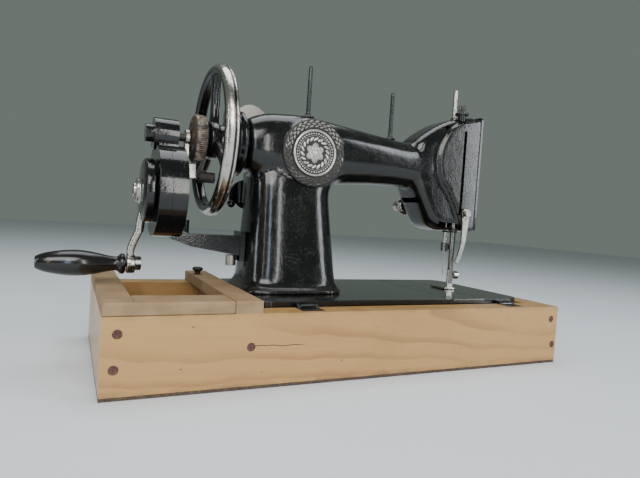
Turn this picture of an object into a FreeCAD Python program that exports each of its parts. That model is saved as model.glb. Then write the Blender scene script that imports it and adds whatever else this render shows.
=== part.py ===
"""Hand-crank sewing machine let into a wooden base, as a parametric assembly.

Frame: X along the bed with +X towards the handwheel, +Y towards the back of the machine,
+Z up.  The origin is on the table, under the middle of the bed.  All sizes are in millimetres.
"""
import FreeCAD, Part
import math
import os
from FreeCAD import Placement, Rotation, Vector
import Sketcher

DOC = FreeCAD.newDocument("sewing_machine")
SHEET = DOC.addObject("Spreadsheet::Sheet", "Dims")
NODES = []


class Size:
    """A number together with the spreadsheet formula that it comes from."""

    def __init__(self, value, text):
        self.value = float(value)
        self.text = text

    @staticmethod
    def of(other):
        return other if isinstance(other, Size) else Size(other, repr(float(other)))

    def join(self, other, sign, value):
        return Size(value, "(%s %s %s)" % (self.text, sign, Size.of(other).text))

    def __add__(self, other):
        return self.join(other, "+", self.value + Size.of(other).value)

    def __sub__(self, other):
        return self.join(other, "-", self.value - Size.of(other).value)

    def __mul__(self, other):
        return self.join(other, "*", self.value * Size.of(other).value)

    def __truediv__(self, other):
        return self.join(other, "/", self.value / Size.of(other).value)

    def __radd__(self, other):
        return Size.of(other) + self

    def __rsub__(self, other):
        return Size.of(other) - self

    def __rmul__(self, other):
        return Size.of(other) * self

    def __neg__(self):
        return 0 - self


def dim(alias, value, _row=[0]):
    """Puts one driving dimension into the sheet and gives it back as a Size."""
    _row[0] += 1
    SHEET.set("A%d" % _row[0], alias)
    SHEET.set("B%d" % _row[0], str(value))
    SHEET.setAlias("B%d" % _row[0], alias)
    return Size(value, "Dims." + alias)


# ---- driving dimensions: wooden base -------------------------------------------------------
BASE_LEFT = dim("base_left", -218)
BASE_RIGHT = dim("base_right", 330)
BASE_HALF = dim("base_half_depth", 120)
BOARD = dim("board_thickness", 28)
PANEL = dim("panel_thickness", 3.5)
BOARD_TOP = dim("board_top", 73)
BATTEN = dim("batten_width", 12)
STRIP = dim("strip_thickness", 12)
BAR_LEFT = dim("cross_bar_left", 187)
BAR_RIGHT = dim("cross_bar_right", 214)
END_STRIP_LEFT = dim("end_strip_left", 304)
REAR_STRIP_FRONT = dim("rear_strip_front", 80)
SCREW_HEAD = dim("wood_screw_head_radius", 4.5)
# ---- machine bed ---------------------------------------------------------------------------
BED_TOP = dim("bed_top", 79)
BED_HALF_X = dim("bed_half_length", 185.5)
BED_HALF_Y = dim("bed_half_depth", 89)
BED_RIM = dim("bed_rim_height", 11.5)
BED_SKIN = dim("bed_skin", 5)
BED_CORNER = dim("bed_corner_radius", 20)
HINGE_Y = dim("hinge_axis_y", 93.5)
HINGE_LEFT = dim("hinge_left_x", -152)
HINGE_RIGHT = dim("hinge_right_x", 129)
# ---- arm, head and pillar ------------------------------------------------------------------
SHAFT_Y = dim("shaft_y", -4)
SHAFT_Z = dim("shaft_z", 247)
SHAFT = dim("shaft_radius", 5)
NEEDLE_X = dim("needle_x", -127)
PRESSER_Y = dim("presser_y", 12)
HEAD_LEFT = dim("head_left", -155)
HEAD_BACK = dim("head_back", 24)
HEAD_FRONT = dim("head_front", -34)
HEAD_BOTTOM = dim("head_bottom", 161)
WALL = dim("casting_wall", 5)
COVER_X = dim("rear_cover_x", 102.5)
COVER_Z = dim("rear_cover_z", 243)
COVER = dim("rear_cover_radius", 39.4)
# ---- handwheel and crank -------------------------------------------------------------------
WHEEL_X = dim("wheel_middle_x", 215)
WHEEL = dim("wheel_radius", 85)
KNOB = dim("clutch_knob_radius", 26.5)
CRANK_Z = dim("crank_axis_z", 186)
CRANK_ARM = dim("crank_radius", 80)
GEAR_TEETH = dim("gear_teeth", 58)
PINION_TEETH = dim("pinion_teeth", 18)
GRIP_LEFT = dim("grip_left", 302)
GRIP_RIGHT = dim("grip_right", 387)
GRIP = dim("grip_radius", 13.5)
# ---- plates and feed -----------------------------------------------------------------------
SLIDE_LEFT = dim("slide_plate_left", -121)
SLIDE_RIGHT = dim("slide_plate_right", -71)
PLATE_BACK = dim("needle_plate_back", 17.6)
PLATE_FRONT = dim("needle_plate_front", -25.6)
PLATE = dim("plate_thickness", 2)
GAP = dim("sliding_gap", 0.3)
DOC.recompute()

# Which way a turned or drawn piece points: its own +Z goes to this axis.
TURN = {
    "+z": Rotation(),
    "-z": Rotation(Vector(1, 0, 0), 180),
    "+x": Rotation(Vector(0, 1, 0), 90),
    "-x": Rotation(Vector(0, 1, 0), -90),
    "+y": Rotation(Vector(1, 0, 0), -90),
    "-y": Rotation(Vector(1, 0, 0), 90),
}


def bind(thing, path, size):
    """Binds one property to a formula, or sets it when it is a plain number."""
    size = Size.of(size)
    if "Dims." in size.text:
        thing.setExpression(path, size.text)
    elif "." in path:
        thing.setExpression(path, size.text)
    else:
        setattr(thing, path, size.value)


def put(thing, at, axis="+z", spin=0):
    """Places a piece with its own origin at the point and its own Z along the axis."""
    turn = TURN[axis].multiply(Rotation(Vector(0, 0, 1), spin))
    base = [Size.of(part) for part in at]
    thing.Placement = Placement(Vector(*[part.value for part in base]), turn)
    for letter, part in zip("xyz", base):
        if "Dims." in part.text:
            thing.setExpression("Placement.Base." + letter, part.text)
    return thing


def box(corner, size):
    """A box from its lowest corner and its three sizes."""
    piece = DOC.addObject("Part::Box", "box")
    for prop, value in zip(("Length", "Width", "Height"), size):
        bind(piece, prop, value)
    return put(piece, corner)


def span(low, high):
    """A box between its lowest and highest corners."""
    return box(low, [Size.of(top) - bottom for bottom, top in zip(low, high)])


def rod(at, axis, radius, length):
    """A cylinder that starts at the point and runs along the axis."""
    piece = DOC.addObject("Part::Cylinder", "rod")
    bind(piece, "Radius", radius)
    bind(piece, "Height", length)
    return put(piece, at, axis)


def cone(at, axis, start, end, length):
    """A cone that starts at the point with one radius and ends with the other."""
    piece = DOC.addObject("Part::Cone", "cone")
    bind(piece, "Radius1", start)
    bind(piece, "Radius2", end)
    bind(piece, "Height", length)
    return put(piece, at, axis)


def ball(at, radius):
    piece = DOC.addObject("Part::Sphere", "ball")
    bind(piece, "Radius", radius)
    return put(piece, at)


def tube(at, axis, outer, inner, length):
    return cut(rod(at, axis, outer, length), rod(at, axis, inner, length))


def fuse(*pieces):
    joined = DOC.addObject("Part::MultiFuse", "joined")
    joined.Shapes = list(pieces)
    joined.Refine = True
    return joined


def cut(base, *tools):
    result = DOC.addObject("Part::Cut", "cut")
    result.Base = base
    result.Tool = tools[0] if len(tools) == 1 else fuse(*tools)
    return result


def group(*pieces):
    """Several separate solids that share one node."""
    together = DOC.addObject("Part::Compound", "group")
    together.Links = list(pieces)
    return together


def node(name, piece):
    """Makes a piece a named sub-part of the machine."""
    piece.Label = name
    NODES.append(piece)
    return piece


def origin_plane(body, role):
    return [plane for plane in body.Origin.OriginFeatures if plane.Role == role][0]


def bind_point(sketch, geometry, end, point):
    """Ties one end of a line to the sketch origin by two bound distances."""
    for kind, size in zip(("DistanceX", "DistanceY"), point):
        size = Size.of(size)
        index = sketch.addConstraint(Sketcher.Constraint(kind, -1, 1, geometry, end, size.value))
        if "Dims." in size.text:
            sketch.setExpression("Constraints[%d]" % index, size.text)


def pin_centre(sketch, arc, chord):
    """Fixes an arc's centre along its chord's bisector, across the chord's longer way."""
    centre = sketch.Geometry[arc].Center
    if abs(chord.y) >= abs(chord.x):
        sketch.addConstraint(Sketcher.Constraint("DistanceX", -1, 1, arc, 3, centre.x))
    else:
        sketch.addConstraint(Sketcher.Constraint("DistanceY", -1, 1, arc, 3, centre.y))


def outline(body, role, points):
    """A closed sketch on an origin plane of the body.

    A point is (x, y) for a straight run to it, or (x, y, mid_x, mid_y) for an arc through the middle.
    """
    sketch = body.newObject("Sketcher::SketchObject", "outline")
    sketch.AttachmentSupport = (origin_plane(body, role), [""])
    sketch.MapMode = "FlatFace"
    here = [Vector(Size.of(p[0]).value, Size.of(p[1]).value, 0) for p in points]
    for index, point in enumerate(points):
        start = here[index - 1]
        if len(point) == 4:
            middle = Vector(point[2], point[3], 0)
            arc = Part.Arc(start, middle, here[index])
            number = sketch.addGeometry(arc, False)
            swapped = (sketch.Geometry[number].StartPoint - start).Length > 1e-6
            bind_point(sketch, number, 1 if swapped else 2, point[:2])
            bind_point(sketch, number, 2 if swapped else 1, points[index - 1][:2])
            pin_centre(sketch, number, here[index] - start)
        else:
            number = sketch.addGeometry(Part.LineSegment(start, here[index]), False)
            bind_point(sketch, number, 1, points[index - 1][:2])
            bind_point(sketch, number, 2, point[:2])
    return sketch


def turned(at, axis, points):
    """A turned piece: its half profile as (radius, height) points, spun about the axis."""
    body = DOC.addObject("PartDesign::Body", "turned")
    sketch = outline(body, "XZ_Plane", points)
    spin = body.newObject("PartDesign::Revolution", "spin")
    spin.Profile = sketch
    spin.ReferenceAxis = (sketch, ["V_Axis"])
    spin.Angle = 360
    body.Tip = spin
    return put(body, at, axis)


def padded(at, role, points, depth, round_edges=0, axis="+z"):
    """A flat piece: an outline padded to a depth, its edges along the pad rounded on request."""
    body = DOC.addObject("PartDesign::Body", "padded")
    sketch = outline(body, role, points)
    pad = body.newObject("PartDesign::Pad", "pad")
    pad.Profile = sketch
    bind(pad, "Length", depth)
    body.Tip = pad
    if Size.of(round_edges).value > 0:
        DOC.recompute()
        round_along(body, pad, role, round_edges)
    return put(body, at, axis)


def round_along(body, pad, role, radius):
    """Rounds the straight edges that run the way the piece was padded."""
    way = {"XY_Plane": Vector(0, 0, 1), "XZ_Plane": Vector(0, 1, 0), "YZ_Plane": Vector(1, 0, 0)}[role]
    names = []
    for index, edge in enumerate(pad.Shape.Edges):
        if edge.Curve.TypeId != "Part::GeomLine":
            continue
        run = edge.Vertexes[-1].Point - edge.Vertexes[0].Point
        if run.cross(way).Length < 1e-6 * run.Length:
            names.append("Edge%d" % (index + 1))
    fillet = body.newObject("PartDesign::Fillet", "rounding")
    fillet.Base = (pad, names)
    bind(fillet, "Radius", radius)
    body.Tip = fillet


def rectangle(low, high):
    return [(low[0], low[1]), (high[0], low[1]), (high[0], high[1]), (low[0], high[1])]


# ---- wooden base ---------------------------------------------------------------------------

# Rear board screws as (distance from the base's middle plane of the end board, height).
REAR_SCREWS = ((317, 58), (319, 27), (197, 41), (-207, 57), (-212, 24))


def wood_screw(x, z, side):
    """A countersunk screw driven through a long board into the board behind it."""
    axis = "-y" if side > 0 else "+y"
    face = BASE_HALF * side
    head = cone((x, face, z), axis, SCREW_HEAD, 2, 3)
    return fuse(head, rod((x, face, z), axis, 2, 46))


def screws(side):
    return [wood_screw(x, z, side) for x, z in REAR_SCREWS]


def hinge_places():
    return (HINGE_LEFT, HINGE_RIGHT)


def make_base():
    """Four boards on a thin bottom panel, with ledges for the bed and a box at the crank end."""
    inner = BASE_HALF - BOARD
    mortises = [span((x - 13, 87, BOARD_TOP - 7), (x + 13, 113, BOARD_TOP + 1)) for x in hinge_places()]
    rear = span((BASE_LEFT, inner, PANEL), (BASE_RIGHT, BASE_HALF, BOARD_TOP))
    node("base_rear_board", cut(rear, *(mortises + screws(1))))
    front = span((BASE_LEFT, -BASE_HALF, PANEL), (BASE_RIGHT, -inner, BOARD_TOP))
    node("base_front_board", cut(front, *screws(-1)))
    crank_end = span((BASE_RIGHT - BOARD, -inner, PANEL), (BASE_RIGHT, inner, BOARD_TOP))
    needle_end = span((BASE_LEFT, -inner, PANEL), (BASE_LEFT + BOARD, inner, BOARD_TOP))
    node("base_end_boards", group(*[cut(end, *(screws(1) + screws(-1))) for end in (crank_end, needle_end)]))
    node("base_bottom_panel", span((BASE_LEFT, -BASE_HALF, 0), (BASE_RIGHT, BASE_HALF, PANEL)))
    node("base_screws", group(*(screws(1) + screws(-1))))


def make_ledges():
    """The partition, and battens that the bed's rim rests on, left open where the hinges swing."""
    inner = BASE_HALF - BOARD
    top = BED_TOP - BED_RIM
    left = BASE_LEFT + BOARD
    right = BAR_LEFT + 1
    front = span((left, -inner, top - BATTEN), (right, BATTEN - inner, top))
    runs = ((left, HINGE_LEFT - 15), (HINGE_LEFT + 15, HINGE_RIGHT - 15), (HINGE_RIGHT + 15, right))
    rears = [span((a, inner - BATTEN, top - BATTEN), (b, inner, top)) for a, b in runs]
    partition = span((right, -inner, PANEL), (right + 12, inner, BOARD_TOP))
    node("base_partition_and_ledges", group(cut(partition, *(screws(1) + screws(-1))), front, *rears))


def make_strips():
    """Strips on top of the boards at the crank end, and the bar across the end of the bed."""
    top = BOARD_TOP + STRIP
    rear = span((BAR_RIGHT, REAR_STRIP_FRONT, BOARD_TOP), (END_STRIP_LEFT, BASE_HALF, top))
    end = span((END_STRIP_LEFT, -BASE_HALF, BOARD_TOP), (BASE_RIGHT, BASE_HALF, top))
    node("compartment_strips", group(rear, end))
    bar = span((BAR_LEFT, -BASE_HALF, BOARD_TOP), (BAR_RIGHT, BASE_HALF, top))
    bore = rod((LATCH_X, LATCH_Y, BOARD_TOP - 1), "+z", 2.55, STRIP + 2)
    node("base_cross_bar", cut(bar, bore))


LATCH_X = BAR_LEFT + 19
LATCH_Y = Size.of(-82)


def make_latch():
    """The round-headed turning knob on the cross bar."""
    top = BOARD_TOP + STRIP
    head = rod((LATCH_X, LATCH_Y, top + 4.5), "+z", 7, 5)
    stem = rod((LATCH_X, LATCH_Y, top + GAP), "+z", 3.8, 5)
    pin = rod((LATCH_X, LATCH_Y, BOARD_TOP + 0.5), "+z", 2.5, 15)
    node("cross_bar_knob", fuse(head, stem, pin))


def make_hinges():
    """Hinge plates let into the rear board and their pins."""
    plates = []
    pins = []
    for x in hinge_places():
        leaf = span((x - 12, HINGE_Y, BOARD_TOP - 3), (x + 12, 112, BOARD_TOP))
        ears = [rod((x + side, HINGE_Y, BOARD_TOP), "+x", 3.5, 3) for side in (-12, 9)]
        room = span((x - 9, 86, BOARD_TOP - 8), (x + 9, HINGE_Y + 6.5, BOARD_TOP + 8))
        hole = rod((x - 12, HINGE_Y, BOARD_TOP), "+x", 2, 24)
        pad = span((x - 12, HINGE_Y + 6.5, BOARD_TOP - 7), (x + 12, 112, BOARD_TOP - 3))
        plates.append(cut(fuse(cut(leaf, room), pad, *ears), hole))
        pins.append(rod((x - 12, HINGE_Y, BOARD_TOP), "+x", 2, 24))
    node("base_hinges", group(*(plates + pins)))


def hinge_lug(x):
    """A lug on the bed's back edge, with an eye for the hinge pin."""
    eye = rod((x - 8.5, HINGE_Y, BOARD_TOP), "+x", 3.5, 17)
    neck = span((x - 8.5, BED_HALF_Y - 1, BOARD_TOP - 3), (x + 8.5, HINGE_Y, BOARD_TOP + 3))
    return cut(fuse(eye, neck), rod((x - 9, HINGE_Y, BOARD_TOP), "+x", 2.05, 18))


# ---- bed -----------------------------------------------------------------------------------

def make_bed():
    """The cast bed: a rounded plate with a rim under it, open under the plates and the pillar."""
    low = BED_TOP - BED_RIM
    plate = padded((0, 0, low), "XY_Plane",
                   rectangle((-BED_HALF_X, -BED_HALF_Y), (BED_HALF_X, BED_HALF_Y)), BED_RIM, BED_CORNER)
    rim = 9
    hollow = padded((0, 0, low - 1), "XY_Plane",
                    rectangle((rim - BED_HALF_X, rim - BED_HALF_Y), (BED_HALF_X - rim, BED_HALF_Y - rim)),
                    BED_RIM - BED_SKIN + 1, BED_CORNER - rim)
    slide_seat = span((SLIDE_LEFT - GAP, -BED_HALF_Y - 1, BED_TOP - PLATE),
                      (SLIDE_RIGHT + GAP, BED_HALF_Y + 1, BED_TOP + 1))
    race_well = span((SLIDE_LEFT + 4, rim - BED_HALF_Y, low - 2),
                     (SLIDE_RIGHT - 4, BED_HALF_Y - rim, BED_TOP))
    plate_seat = padded((0, 0, BED_TOP - PLATE), "XY_Plane", needle_plate_outline(Size.of(0)), PLATE + 1)
    feed_well = span((-143, -18, low - 2), (SLIDE_LEFT + 6, 12, BED_TOP))
    pillar_well = span((82, -24, low - 2), (150, 16, BED_TOP + 1))
    cast = cut(plate, hollow, slide_seat, race_well, plate_seat, feed_well, pillar_well)
    node("bed", fuse(cast, *[hinge_lug(x) for x in hinge_places()]))


def needle_plate_outline(gap):
    """A plate with a round needle-side end, the width of the two slide plates' ends apart."""
    middle = (PLATE_BACK + PLATE_FRONT) / 2
    half = (PLATE_BACK - PLATE_FRONT) / 2
    round_x = -137.0
    return [(SLIDE_RIGHT - gap, PLATE_FRONT), (SLIDE_RIGHT - gap, PLATE_BACK), (round_x, PLATE_BACK),
            (round_x, PLATE_FRONT, round_x - half.value, middle.value)]


def feed_slots(extra):
    """Two slots each side of the needle hole for the rows of feed teeth."""
    return [span((NEEDLE_X + x - extra, -15 - extra, BED_TOP - 3),
                 (NEEDLE_X + x + 3 + extra, 7 + extra, BED_TOP + 1))
            for x in (-7.5, 4.5)]


def make_plates():
    """The needle plate and the two slide plates, flush in the bed."""
    low = BED_TOP - PLATE
    plate = padded((0, 0, low), "XY_Plane", needle_plate_outline(Size.of(0)), PLATE)
    hole = rod((NEEDLE_X, SHAFT_Y, low - 1), "+z", 1.1, 4)
    sinks = [cone((x, PLATE_MIDDLE, low), "+z", 1.6, 3.2, PLATE) for x in PLATE_SCREW_X]
    node("needle_plate", cut(plate, hole, *(feed_slots(0.4) + sinks)))
    node("front_slide_plate",
         span((SLIDE_LEFT, -BED_HALF_Y, low + 0.1), (SLIDE_RIGHT, PLATE_FRONT - GAP, BED_TOP)))
    node("rear_slide_plate",
         span((SLIDE_LEFT, PLATE_BACK + GAP, low + 0.1), (SLIDE_RIGHT, BED_HALF_Y, BED_TOP)))


PLATE_MIDDLE = (PLATE_BACK + PLATE_FRONT) / 2
PLATE_SCREW_X = (-150, -78)


# ---- arm casting ---------------------------------------------------------------------------

# The arm's oval sections: (x, middle height, half height, half depth), from the wheel to the head.
ARM_SECTIONS = ((178, 247, 30, 27), (150, 247, 40, 31), (105, 246, 44, 31), (60, 248, 38, 29),
                (0, 247.5, 32.3, 26), (-50, 246, 30, 24), (-78, 247, 34, 26))


def oval(x, middle, half_height, half_depth):
    """One oval across the arm, its long radius upright."""
    curve = DOC.addObject("Part::Ellipse", "oval")
    bind(curve, "MajorRadius", half_height)
    bind(curve, "MinorRadius", half_depth)
    put(curve, (x, SHAFT_Y, middle))
    curve.Placement.Rotation = TURN["-x"]
    return curve


def arm_loft():
    loft = DOC.addObject("Part::Loft", "arm")
    loft.Sections = [oval(*section) for section in ARM_SECTIONS]
    loft.Solid = True
    loft.Ruled = False
    return loft


def tapered(low, high, low_z, high_z):
    """An upright block between two rectangles, each (x from, x to, y from, y to)."""
    wedge = DOC.addObject("Part::Wedge", "pillar")
    wedge.Xmin, wedge.Xmax, wedge.Zmin, wedge.Zmax = -low[1], -low[0], low[2], low[3]
    wedge.X2min, wedge.X2max, wedge.Z2min, wedge.Z2max = -high[1], -high[0], high[2], high[3]
    bind(wedge, "Ymin", low_z)
    bind(wedge, "Ymax", high_z)
    upright = Rotation(Vector(-1, 0, 0), Vector(0, 0, 1), Vector(0, 1, 0), "XYZ")
    wedge.Placement = Placement(Vector(0, 0, 0), upright)
    return wedge


def rounded_uprights(wedge, radius):
    """Rounds the four leaning edges of a tapered block."""
    DOC.recompute()
    fillet = DOC.addObject("Part::Fillet", "rounded")
    fillet.Base = wedge
    edges = []
    for index, edge in enumerate(wedge.Shape.Edges):
        run = edge.Vertexes[-1].Point - edge.Vertexes[0].Point
        if abs(run.z) > 0.5 * run.Length:
            edges.append((index + 1, radius, radius))
    fillet.Edges = edges
    return fillet


def head_outline():
    """The head seen from the back: an arched top, an upright needle end and a rounded corner."""
    return [(HEAD_LEFT, HEAD_BOTTOM), (-98, HEAD_BOTTOM), (-73, 183, -83, 168), (-61, 205), (-52, 224),
            (-52, 277), (-86, 303), (-104, 312), (-119, 317.3), (-140, 321.8), (HEAD_LEFT, 323)]


def make_arm():
    """Pillar, arm and head in one casting, hollow for the shaft, the rod and the bars."""
    flange = padded((0, 0, BED_TOP), "XY_Plane", rectangle((42, -57), (182, 50)), 5, 24)
    pillar = rounded_uprights(tapered((50, 175, -50, 42), (70, 168, -36, 24), BED_TOP + 1, BED_TOP + 150), 20)
    head_depth = HEAD_BACK - HEAD_FRONT
    head = padded((0, HEAD_BACK, 0), "XZ_Plane", head_outline(), head_depth)
    collar = rod((COVER_X, 0, COVER_Z), "+y", COVER - 1, 27.5)
    outside = fuse(flange, pillar, arm_loft(), head, collar)
    pillar_room = span((82, -28, BED_TOP - 1), (152, 20, SHAFT_Z + 6))
    bore = rod((-60, SHAFT_Y, SHAFT_Z), "+x", 20, 212)
    shaft_hole = rod((100, SHAFT_Y, SHAFT_Z), "+x", 14, 90)
    cover_hole = rod((COVER_X, 0, COVER_Z), "+y", 30, 40)
    deep = span((HEAD_LEFT - 1, HEAD_FRONT + WALL, HEAD_BOTTOM + WALL), (-96, HEAD_BACK - WALL, 303))
    shallow = span((-97, HEAD_FRONT + WALL, 190), (-58, HEAD_BACK - WALL, 268))
    slot = span((NEEDLE_X - 2, HEAD_BACK - WALL - 1, 184), (NEEDLE_X + 2.5, HEAD_BACK + 1, 299))
    lever_slot = span((NEEDLE_X - 3, HEAD_FRONT - 1, 188), (NEEDLE_X + 5, HEAD_FRONT + WALL + 1, 292))
    needle_bore = rod((NEEDLE_X, SHAFT_Y, 150), "+z", 5, 180)
    presser_bore = rod((NEEDLE_X, PRESSER_Y, 150), "+z", 5.5, 180)
    tension_bore = rod((TENSION_X, HEAD_FRONT - 5, TENSION_Z), "+y", 2.4, 20)
    winder_bore = rod((150, WINDER_Y - 5, 276), "+y", 2.5, 40)
    rooms = [pillar_room, bore, shaft_hole, cover_hole, deep, shallow, slot, lever_slot]
    bores = [needle_bore, presser_bore, tension_bore, winder_bore]
    node("arm_casting", cut(outside, *rooms, *bores, *spool_pin_pair()))
    return outside


FACE_SCREWS = ((-5, 165), (-5, 317))
TENSION_X = Size.of(-78)
TENSION_Z = Size.of(193)


def make_head_covers():
    """Face plate on the needle end, the round rear cover and its ornament."""
    shape = rectangle((HEAD_FRONT + 2, HEAD_BOTTOM + 1.5), (HEAD_BACK - 2, 322))
    plate = padded((HEAD_LEFT - 3, 0, 0), "YZ_Plane", shape, 3, 5)
    holes = [rod((HEAD_LEFT - 5, y, z), "+x", 2, 8) for y, z in FACE_SCREWS]
    node("face_plate", cut(plate, *holes))
    back = 27.5
    cover = turned((COVER_X, back, COVER_Z), "+y",
                   [(0, -2), (29.5, -2), (29.5, 0), (COVER, 0), (COVER, 3), (COVER - 1.6, 4.6),
                    (30, 4.6), (28, 3), (0, 3)])
    node("rear_cover_plate", cover)
    medallion = turned((COVER_X, back + 3, COVER_Z), "+y",
                       [(0, 0), (27.6, 0), (27.6, 1.8), (24, 1.8), (12, 2.5), (0, 2.5)])
    node("rear_cover_medallion", medallion)


LIFTER_PIVOT = (-134.0, 186.0)
TAKE_UP_PIVOT = (-16.0, 222.0)
WINDER_Y = -46.0


def make_screws():
    """The small machine screws of the head: needle plate, face plate, lifter, bracket and winder."""
    plate = [cone((x, PLATE_MIDDLE, BED_TOP - PLATE), "+z", 1.6, 3.2, PLATE) for x in PLATE_SCREW_X]
    face = [fuse(rod((HEAD_LEFT - 3, y, z), "-x", 4, 1.6), rod((HEAD_LEFT - 3, y, z), "+x", 2, 3))
            for y, z in FACE_SCREWS]
    lifter = fuse(rod((LIFTER_PIVOT[0], HEAD_BACK, LIFTER_PIVOT[1]), "+y", 2.5, 7),
                  rod((LIFTER_PIVOT[0], HEAD_BACK + 7 + GAP, LIFTER_PIVOT[1]), "+y", 4.5, 1.8),
                  rod((LIFTER_PIVOT[0], HEAD_BACK + 6, LIFTER_PIVOT[1]), "+y", 2.5, 2.5))
    clamp = rod((186, SHAFT_Y, 106), "+z", 6, 12)
    winder = fuse(rod((150, WINDER_Y + 20, 276), "-y", 2.5, 21.6),
                  rod((150, WINDER_Y - 1.3, 276), "-y", 4.5, 1.8))
    node("machine_screws", group(lifter, clamp, winder, *(plate + face)))


def make_studs():
    """Studs that levers turn on: take-up, tension and the shuttle lever under the bed."""
    y, z = TAKE_UP_PIVOT
    take_up = fuse(rod((NEEDLE_X - 4, y, z), "+x", 2, 14),
                   box((NEEDLE_X + 10, HEAD_FRONT + WALL, z - 5), (6, 18, 10)))
    tension = rod((TENSION_X, HEAD_FRONT + WALL, TENSION_Z), "-y", 2.4, WALL + 27)
    top = BED_TOP - BED_SKIN
    shuttle = fuse(rod((LEVER_X, SHAFT_Y, LEVER_Z - 6), "+z", 4, top - LEVER_Z + 6),
                   rod((LEVER_X, SHAFT_Y, LEVER_Z - 9), "+z", 8, 3.5),
                   rod((LEVER_X, SHAFT_Y, LEVER_Z + 6), "+z", 9, top - LEVER_Z - 6))
    node("pivot_studs", group(take_up, tension, shuttle))


def spool_pin(x, foot, top, flange):
    """An upright pin with a small turned foot."""
    post = rod((x, SHAFT_Y, foot - 6), "+z", 2.7, top - foot + 4)
    tip = cone((x, SHAFT_Y, top - 2), "+z", 2.7, 1.6, 2)
    collar = rod((x, SHAFT_Y, foot), "+z", flange, 3)
    return fuse(post, tip, collar)


def spool_pin_pair():
    """The tall pin over the pillar and the one in the middle of the arm."""
    return [spool_pin(99, 289, 352.5, 8), spool_pin(-22, 277.5, 340, 7)]


# ---- shaft and handwheel -------------------------------------------------------------------

def make_shaft():
    """The arm shaft with the needle-bar cam at one end, in its two bushes."""
    shaft = rod((-108, SHAFT_Y, SHAFT_Z), "+x", SHAFT, 331)
    collar = rod((112, SHAFT_Y, SHAFT_Z), "+x", 10, 10)
    node("arm_shaft", fuse(shaft, collar))
    groove = cut(rod((-119, SHAFT_Y, SHAFT_Z), "+x", 20, 4.5), rod((-119, SHAFT_Y, SHAFT_Z), "+x", 14, 3))
    cam = cut(fuse(groove, rod((-115, SHAFT_Y, SHAFT_Z), "+x", 20, 15)),
              rod((-108, SHAFT_Y, SHAFT_Z), "+x", SHAFT, 9))
    node("needle_bar_cam", cam)
    front = tube((-60, SHAFT_Y, SHAFT_Z), "+x", 20, SHAFT + 0.05, 18)
    rear = tube((160, SHAFT_Y, SHAFT_Z), "+x", 14, SHAFT + 0.05, 20)
    top = tube((NEEDLE_X, SHAFT_Y, 303), "+z", 5, 3.2, 17)
    bottom = tube((NEEDLE_X, SHAFT_Y, HEAD_BOTTOM - 2), "+z", 5, 3.2, 7)
    presser = tube((NEEDLE_X, PRESSER_Y, HEAD_BOTTOM - 2), "+z", 5.5, 3.85, 7)
    node("bushes", group(front, rear, top, bottom, presser))


def spoke(turn):
    """One spoke from the hub to the rim, drawn upright and turned about the shaft."""
    arm = box((WHEEL_X - 5, -8, 0), (8, 16, WHEEL - 9))
    centre = Vector(WHEEL_X.value - 5, SHAFT_Y.value, SHAFT_Z.value)
    about_shaft = Placement(centre, Rotation(Vector(1, 0, 0), turn))
    arm.Placement = about_shaft.multiply(Placement(Vector(0, -8, 18), Rotation()))
    bind(arm, "Height", WHEEL - 27)
    return arm


def make_handwheel():
    """Rim, three spokes, hub and belt pulley in one casting, and the clutch that holds it."""
    rim = turned((WHEEL_X - 8, SHAFT_Y, SHAFT_Z), "+x",
                 [(WHEEL - 13, 3), (WHEEL - 13, 13), (WHEEL - 9, 15.5), (WHEEL - 4, 15.5), (WHEEL - 1, 12.5),
                  (WHEEL, 8), (WHEEL - 1, 3.5), (WHEEL - 4, 0.5), (WHEEL - 9, 0.5)])
    hub = rod((185, SHAFT_Y, SHAFT_Z), "+x", 19, WHEEL_X + 8 - 185)
    pulley = turned((184, SHAFT_Y, SHAFT_Z), "+x",
                    [(8, 0), (37, 0), (37, 3), (33, 7), (37, 11), (37, 14), (8, 14)])
    wheel = fuse(rim, hub, pulley, spoke(0), spoke(120), spoke(240))
    washer = rod((WHEEL_X + 7, SHAFT_Y, SHAFT_Z), "+x", 15, 2.3)
    node("handwheel", cut(fuse(wheel, washer), rod((180, SHAFT_Y, SHAFT_Z), "+x", SHAFT, 60)))


def make_clutch_knob():
    """The knurled stop-motion knob and its little locking screw."""
    left = WHEEL_X + 9.6
    knob = turned((left, SHAFT_Y, SHAFT_Z), "+x",
                  [(0, 0), (KNOB - 2, 0), (KNOB, 2), (KNOB, 12), (KNOB - 3, 15.5), (11, 15.5), (9, 13.5),
                   (0, 13.5)])
    notches = [rod_at_angle(left - 1, angle, KNOB + 0.9, 1.5, 20) for angle in range(0, 360, 12)]
    hole = rod((left + 8, SHAFT_Y, SHAFT_Z + 17), "+x", 2, 10)
    screw = rod((left + 8, SHAFT_Y, SHAFT_Z + 17), "+x", 2, 8.2)
    node("clutch_knob", group(cut(knob, hole, *notches), screw))


def rod_at_angle(x, angle, radius, thickness, length):
    """A rod beside the shaft, at an angle about it, for a notch or a rivet."""
    turn = math.radians(angle)
    start = (x, SHAFT_Y + math.cos(turn) * radius, SHAFT_Z + math.sin(turn) * radius)
    return rod(start, "+x", thickness, length)


# ---- hand crank ----------------------------------------------------------------------------

CASE_LEFT = Size.of(248)
CASE_RIGHT = Size.of(277)
CASE = Size.of(50.2)


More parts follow.
